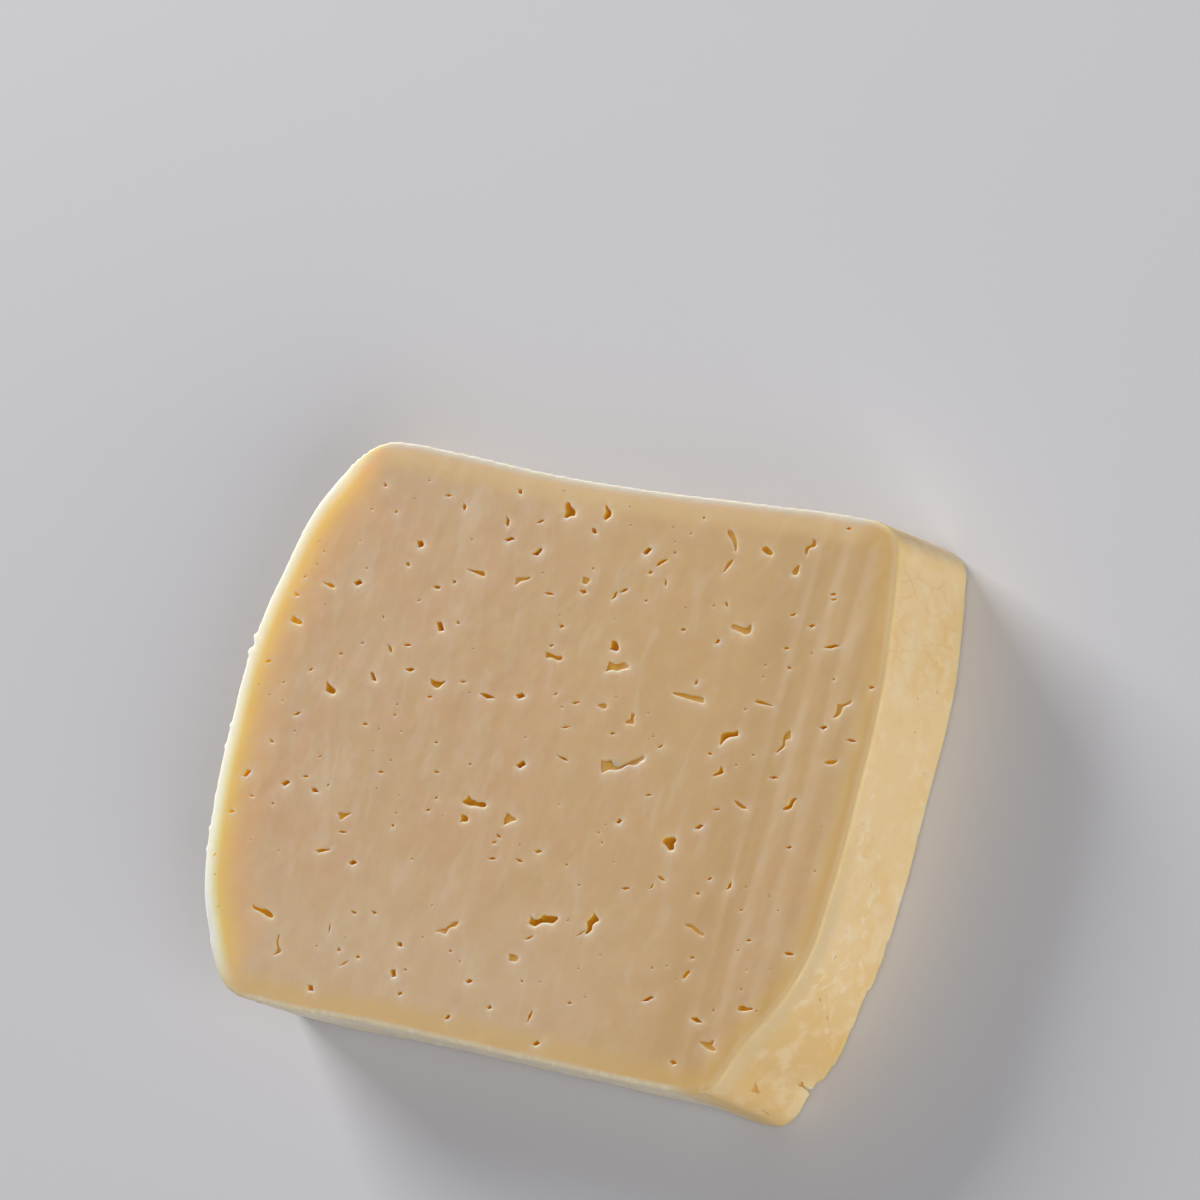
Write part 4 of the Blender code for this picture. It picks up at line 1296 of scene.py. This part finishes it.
def cheese_material():
    """Waxy, slightly translucent cheese: beige cut face, yellower near the rind, pale rind; with painted light and
    shade: a glow and a whitish rim at the left and top, highlights on the knife ripples and round the eyes, a
    lightened right rim, and shade and glow inside the eyes.
    """
    nodes = Nodes("cheese")
    place = nodes.add("ShaderNodeTexCoord").outputs["Object"]
    apart = nodes.add("ShaderNodeSeparateXYZ")
    nodes.link(place, apart.inputs["Vector"])
    edge, sunk, glow = nodes.attribute("edge"), nodes.attribute("sunk"), nodes.attribute("glow")
    x, y = apart.outputs["X"], apart.outputs["Y"]
    patches = nodes.noise(place, 60.0)
    streaks = nodes.noise(place, 380.0, 4.0, stretch=(1.0, 0.45, 1.0))
    mottle = nodes.noise(place, 210.0, 3.0)
    smears = nodes.noise(place, 190.0, 5.0, stretch=(1.0, 0.35, 1.0), distortion=0.8)
    colour = nodes.mix(nodes.ramp(patches, 0.35, 0.65), FACE_ROSY, FACE_GREENISH)
    colour = nodes.mix(nodes.ramp(streaks, 0.46, 0.66, 0.0, 0.60), colour, FACE_PALE)
    yellow = nodes.math("MULTIPLY", nodes.ramp(x, -0.050, 0.040, 0.0, 0.75), nodes.ramp(y, -0.030, 0.030, 0.6, 1.0))
    colour = nodes.mix(yellow, colour, FACE_YELLOW)
    low = nodes.ramp(y, -0.018, -0.040, 0.0, 0.6)
    low = nodes.math("MULTIPLY", low, nodes.ramp(x, 0.050, 0.010))
    colour = nodes.mix(low, colour, FACE_PALE)
    colour = nodes.mix(nodes.ramp(mottle, 0.40, 0.65, 0.0, 0.25), colour, FACE_DEEP)
    colour = nodes.mix(nodes.ramp(smears, 0.55, 0.75, 0.0, 0.38), colour, SMEAR_AND_RIPPLE_HIGHLIGHT)
    deeper = nodes.math("MULTIPLY", nodes.ramp(x, 0.038, 0.047, 0.0, 0.8), nodes.ramp(x, 0.058, 0.050))
    colour = nodes.mix(deeper, colour, FACE_DEEP)
    # Painted highlight: lighter stripes where the knife ripples face the key light
    turn = nodes.math("MULTIPLY", nodes.math("SUBTRACT", x, 0.0565), 2 * math.pi / (RIPPLE_PITCH * MM))
    ripple_highlight = nodes.ramp(nodes.math("COSINE", turn, 0.0), -0.2, 1.0, 0.0, 0.22)
    ripple_highlight = nodes.math("MULTIPLY", ripple_highlight, nodes.ramp(x, 0.046, 0.053))
    ripple_highlight = nodes.math("MULTIPLY", ripple_highlight, nodes.ramp(nodes.noise(place, 120.0), 0.35, 0.55, 0.3, 1.0))
    colour = nodes.mix(ripple_highlight, colour, SMEAR_AND_RIPPLE_HIGHLIGHT)
    band = nodes.mix(nodes.ramp(x, 0.030, 0.055), BAND_COLOUR, BAND_GOLD)
    band = nodes.mix(nodes.math("MULTIPLY", nodes.attribute("cloth"), nodes.ramp(y, 0.0, 0.020)), band, BAND_LIGHT)
    colour = nodes.mix(nodes.ramp(edge, 6.5, 2.5, 0.0, 0.9), colour, band)
    rind = rind_colour(nodes, place, y)
    colour = nodes.mix(nodes.ramp(edge, 1.4, 0.4), colour, rind)
    # Painted light: the right rim's rounding is lightened against its shade
    colour = nodes.mix(nodes.attribute("soft"), colour, SOFT_RIM_PAINTED_LIGHT)
    colour = nodes.mix(nodes.math("MULTIPLY", nodes.attribute("crest"), 0.85), colour, CREST_COLOUR)
    colour = nodes.mix(nodes.math("MULTIPLY", nodes.attribute("dry"), 0.7), colour, DRY_COLOUR)
    # Painted glow: light shining through the left rim, rosy further in, yellow near the rim
    colour = nodes.mix(nodes.math("MULTIPLY", nodes.attribute("painted_glow_reach"), 0.72), colour, ROSY_GLOW)
    colour = nodes.mix(glow, colour, GLOW_COLOUR)
    # Painted rim light mixed with crumbly whitish cheese on the left and top rim, darker towards the top
    pale = nodes.mix(nodes.ramp(y, -0.035, 0.035), PALE_LOW, PALE_HIGH)
    colour = nodes.mix(nodes.attribute("pale"), colour, pale)
    # Painted highlight round the eyes, mixed with whitish smears
    smear = nodes.ramp(nodes.noise(place, 700.0, 3.0), 0.25, 0.60, 0.40, 1.0)
    colour = nodes.mix(nodes.math("MULTIPLY", nodes.attribute("halo_highlight"), smear), colour, HALO_HIGHLIGHT_COLOUR)
    # Painted shade and glow inside the eyes and pits, by depth; near the left rim a brighter painted glow
    eye = nodes.mix(nodes.attribute("painted_glow_reach"), EYE_SHADE_AND_GLOW, EYE_GLOW)
    colour = nodes.mix(sunk, colour, eye)
    surface = nodes.surface
    nodes.link(colour, surface.inputs["Base Color"])
    nodes.link(nodes.math("ADD", 0.45, nodes.math("MULTIPLY", sunk, 0.4)), surface.inputs["Roughness"])
    surface.inputs["IOR"].default_value = 1.45
    surface.subsurface_method = "RANDOM_WALK"
    surface.inputs["Subsurface Weight"].default_value = 1.0
    surface.inputs["Subsurface Radius"].default_value = (1.0, 0.80, 0.32)
    rim_scatter = nodes.math("MULTIPLY", glow, GLOW_SCATTER)
    more = nodes.math("MAXIMUM", rim_scatter, nodes.math("MULTIPLY", sunk, EYE_SCATTER))
    nodes.link(nodes.math("ADD", more, SCATTER), surface.inputs["Subsurface Scale"])
    return nodes.material


def rind_colour(nodes, place, height):
    """Rind: pale wax with deeper patches, whitish scuffs and a net of fine cracks near the top."""
    patches = nodes.ramp(nodes.noise(place, 130.0, 3.0), 0.45, 0.7)
    rind = nodes.mix(patches, RIND_COLOUR, RIND_DEEP)
    rind = nodes.mix(nodes.ramp(height, -0.016, -0.044, 0.0, 0.9), rind, RIND_TAIL)
    cells = nodes.add("ShaderNodeTexVoronoi", feature="DISTANCE_TO_EDGE")
    cells.inputs["Scale"].default_value = 280.0
    bent = nodes.add("ShaderNodeVectorMath", operation="ADD")
    wobble = nodes.add("ShaderNodeTexNoise")
    wobble.inputs["Scale"].default_value = 300.0
    nodes.link(place, wobble.inputs["Vector"])
    small = nodes.add("ShaderNodeVectorMath", operation="SCALE")
    small.inputs["Scale"].default_value = 0.0025
    nodes.link(wobble.outputs["Color"], small.inputs[0])
    nodes.link(place, bent.inputs[0])
    nodes.link(small.outputs[0], bent.inputs[1])
    longer = nodes.add("ShaderNodeMapping")
    longer.inputs["Scale"].default_value = (1.0, 1.0, 0.55)
    nodes.link(bent.outputs[0], longer.inputs["Vector"])
    nodes.link(longer.outputs["Vector"], cells.inputs["Vector"])
    crack = nodes.ramp(cells.outputs["Distance"], 0.12, 0.0, 0.0, 0.70)
    crack = nodes.math("MULTIPLY", crack, nodes.ramp(height, 0.010, 0.036))
    crack = nodes.math("MULTIPLY", crack, nodes.ramp(nodes.noise(place, 110.0), 0.40, 0.58))
    rind = nodes.mix(crack, rind, CRACK_COLOUR)
    clouds = nodes.ramp(nodes.noise(place, 240.0, 4.0), 0.48, 0.68, 0.0, 0.40)
    rind = nodes.mix(clouds, rind, SCUFF_COLOUR)
    scuffs = nodes.ramp(nodes.noise(place, 420.0, 5.0, distortion=0.5), 0.52, 0.66)
    where = nodes.ramp(nodes.noise(place, 90.0, 2.0), 0.44, 0.64, 0.0, 0.80)
    where = nodes.math("MULTIPLY", where, nodes.ramp(height, -0.040, -0.032, 0.25, 1.0))
    where = nodes.math("MULTIPLY", where, nodes.ramp(height, 0.020, 0.0, 0.4, 1.0))
    rind = nodes.mix(nodes.math("MULTIPLY", scuffs, where), rind, SCUFF_COLOUR)
    flecks = nodes.ramp(nodes.noise(place, 900.0, 3.0, stretch=(1.0, 1.0, 0.6)), 0.50, 0.68, 0.0, 0.6)
    cloth = nodes.mix(flecks, nodes.mix(patches, CLOTH_COLOUR, SCUFF_COLOUR), CLOTH_FLECK)
    return nodes.mix(nodes.attribute("cloth"), rind, cloth)


def make_floor():
    """Plain pale floor, far larger than the view."""
    shape = bmesh.new()
    bmesh.ops.create_circle(shape, cap_ends=True, segments=96, radius=9.0)
    mesh = bpy.data.meshes.new("floor")
    shape.to_mesh(mesh)
    shape.free()
    nodes = Nodes("floor")
    nodes.surface.inputs["Base Color"].default_value = (0.755, 0.755, 0.80, 1.0)
    nodes.surface.inputs["Roughness"].default_value = 0.6
    mesh.materials.append(nodes.material)
    floor = bpy.data.objects.new("floor", mesh)
    floor.location.z = -0.0002
    bpy.context.scene.collection.objects.link(floor)


def make_light(name, direction, distance, size, strength, colour):
    """A square soft light that points at the slice.

    A white matt surface that faces it at the slice shows the strength as its brightness.
    """
    lamp = bpy.data.lights.new(name, "AREA")
    lamp.size = size
    lamp.energy = strength * math.pi ** 2 * distance ** 2
    lamp.color = colour
    light = bpy.data.objects.new(name, lamp)
    away = Vector(direction).normalized()
    light.location = away * distance
    light.rotation_euler = away.to_track_quat("Z", "Y").to_euler()
    bpy.context.scene.collection.objects.link(light)


def make_lights():
    """Soft key from the upper left, low over the face, and a broad low fill from the right."""
    make_light("key", KEY_DIRECTION, 2.4, 1.0, 1.08, (1.0, 0.985, 0.96))
    make_light("fill", FILL_DIRECTION, 2.2, 1.6, 0.68, (1.0, 0.985, 0.95))
    world = bpy.data.worlds.new("studio")
    world.use_nodes = True
    sky = world.node_tree.nodes["Background"]
    sky.inputs["Color"].default_value = (0.94, 0.95, 1.0, 1.0)
    sky.inputs["Strength"].default_value = 0.17
    bpy.context.scene.world = world


def make_camera():
    """The photograph's view of the slice."""
    lens = bpy.data.cameras.new("camera")
    lens.lens = CAMERA_LENS
    lens.clip_end = 30.0
    camera = bpy.data.objects.new("camera", lens)
    back = CAMERA_RIGHT.cross(CAMERA_UP)
    turn = Matrix((CAMERA_RIGHT, CAMERA_UP, back)).transposed().to_4x4()
    camera.matrix_world = Matrix.Translation(CAMERA_PLACE) @ turn
    bpy.context.scene.collection.objects.link(camera)
    bpy.context.scene.camera = camera


make_camera()
build_slice()
make_floor()
make_lights()
bpy.context.scene.view_settings.view_transform = "Standard"
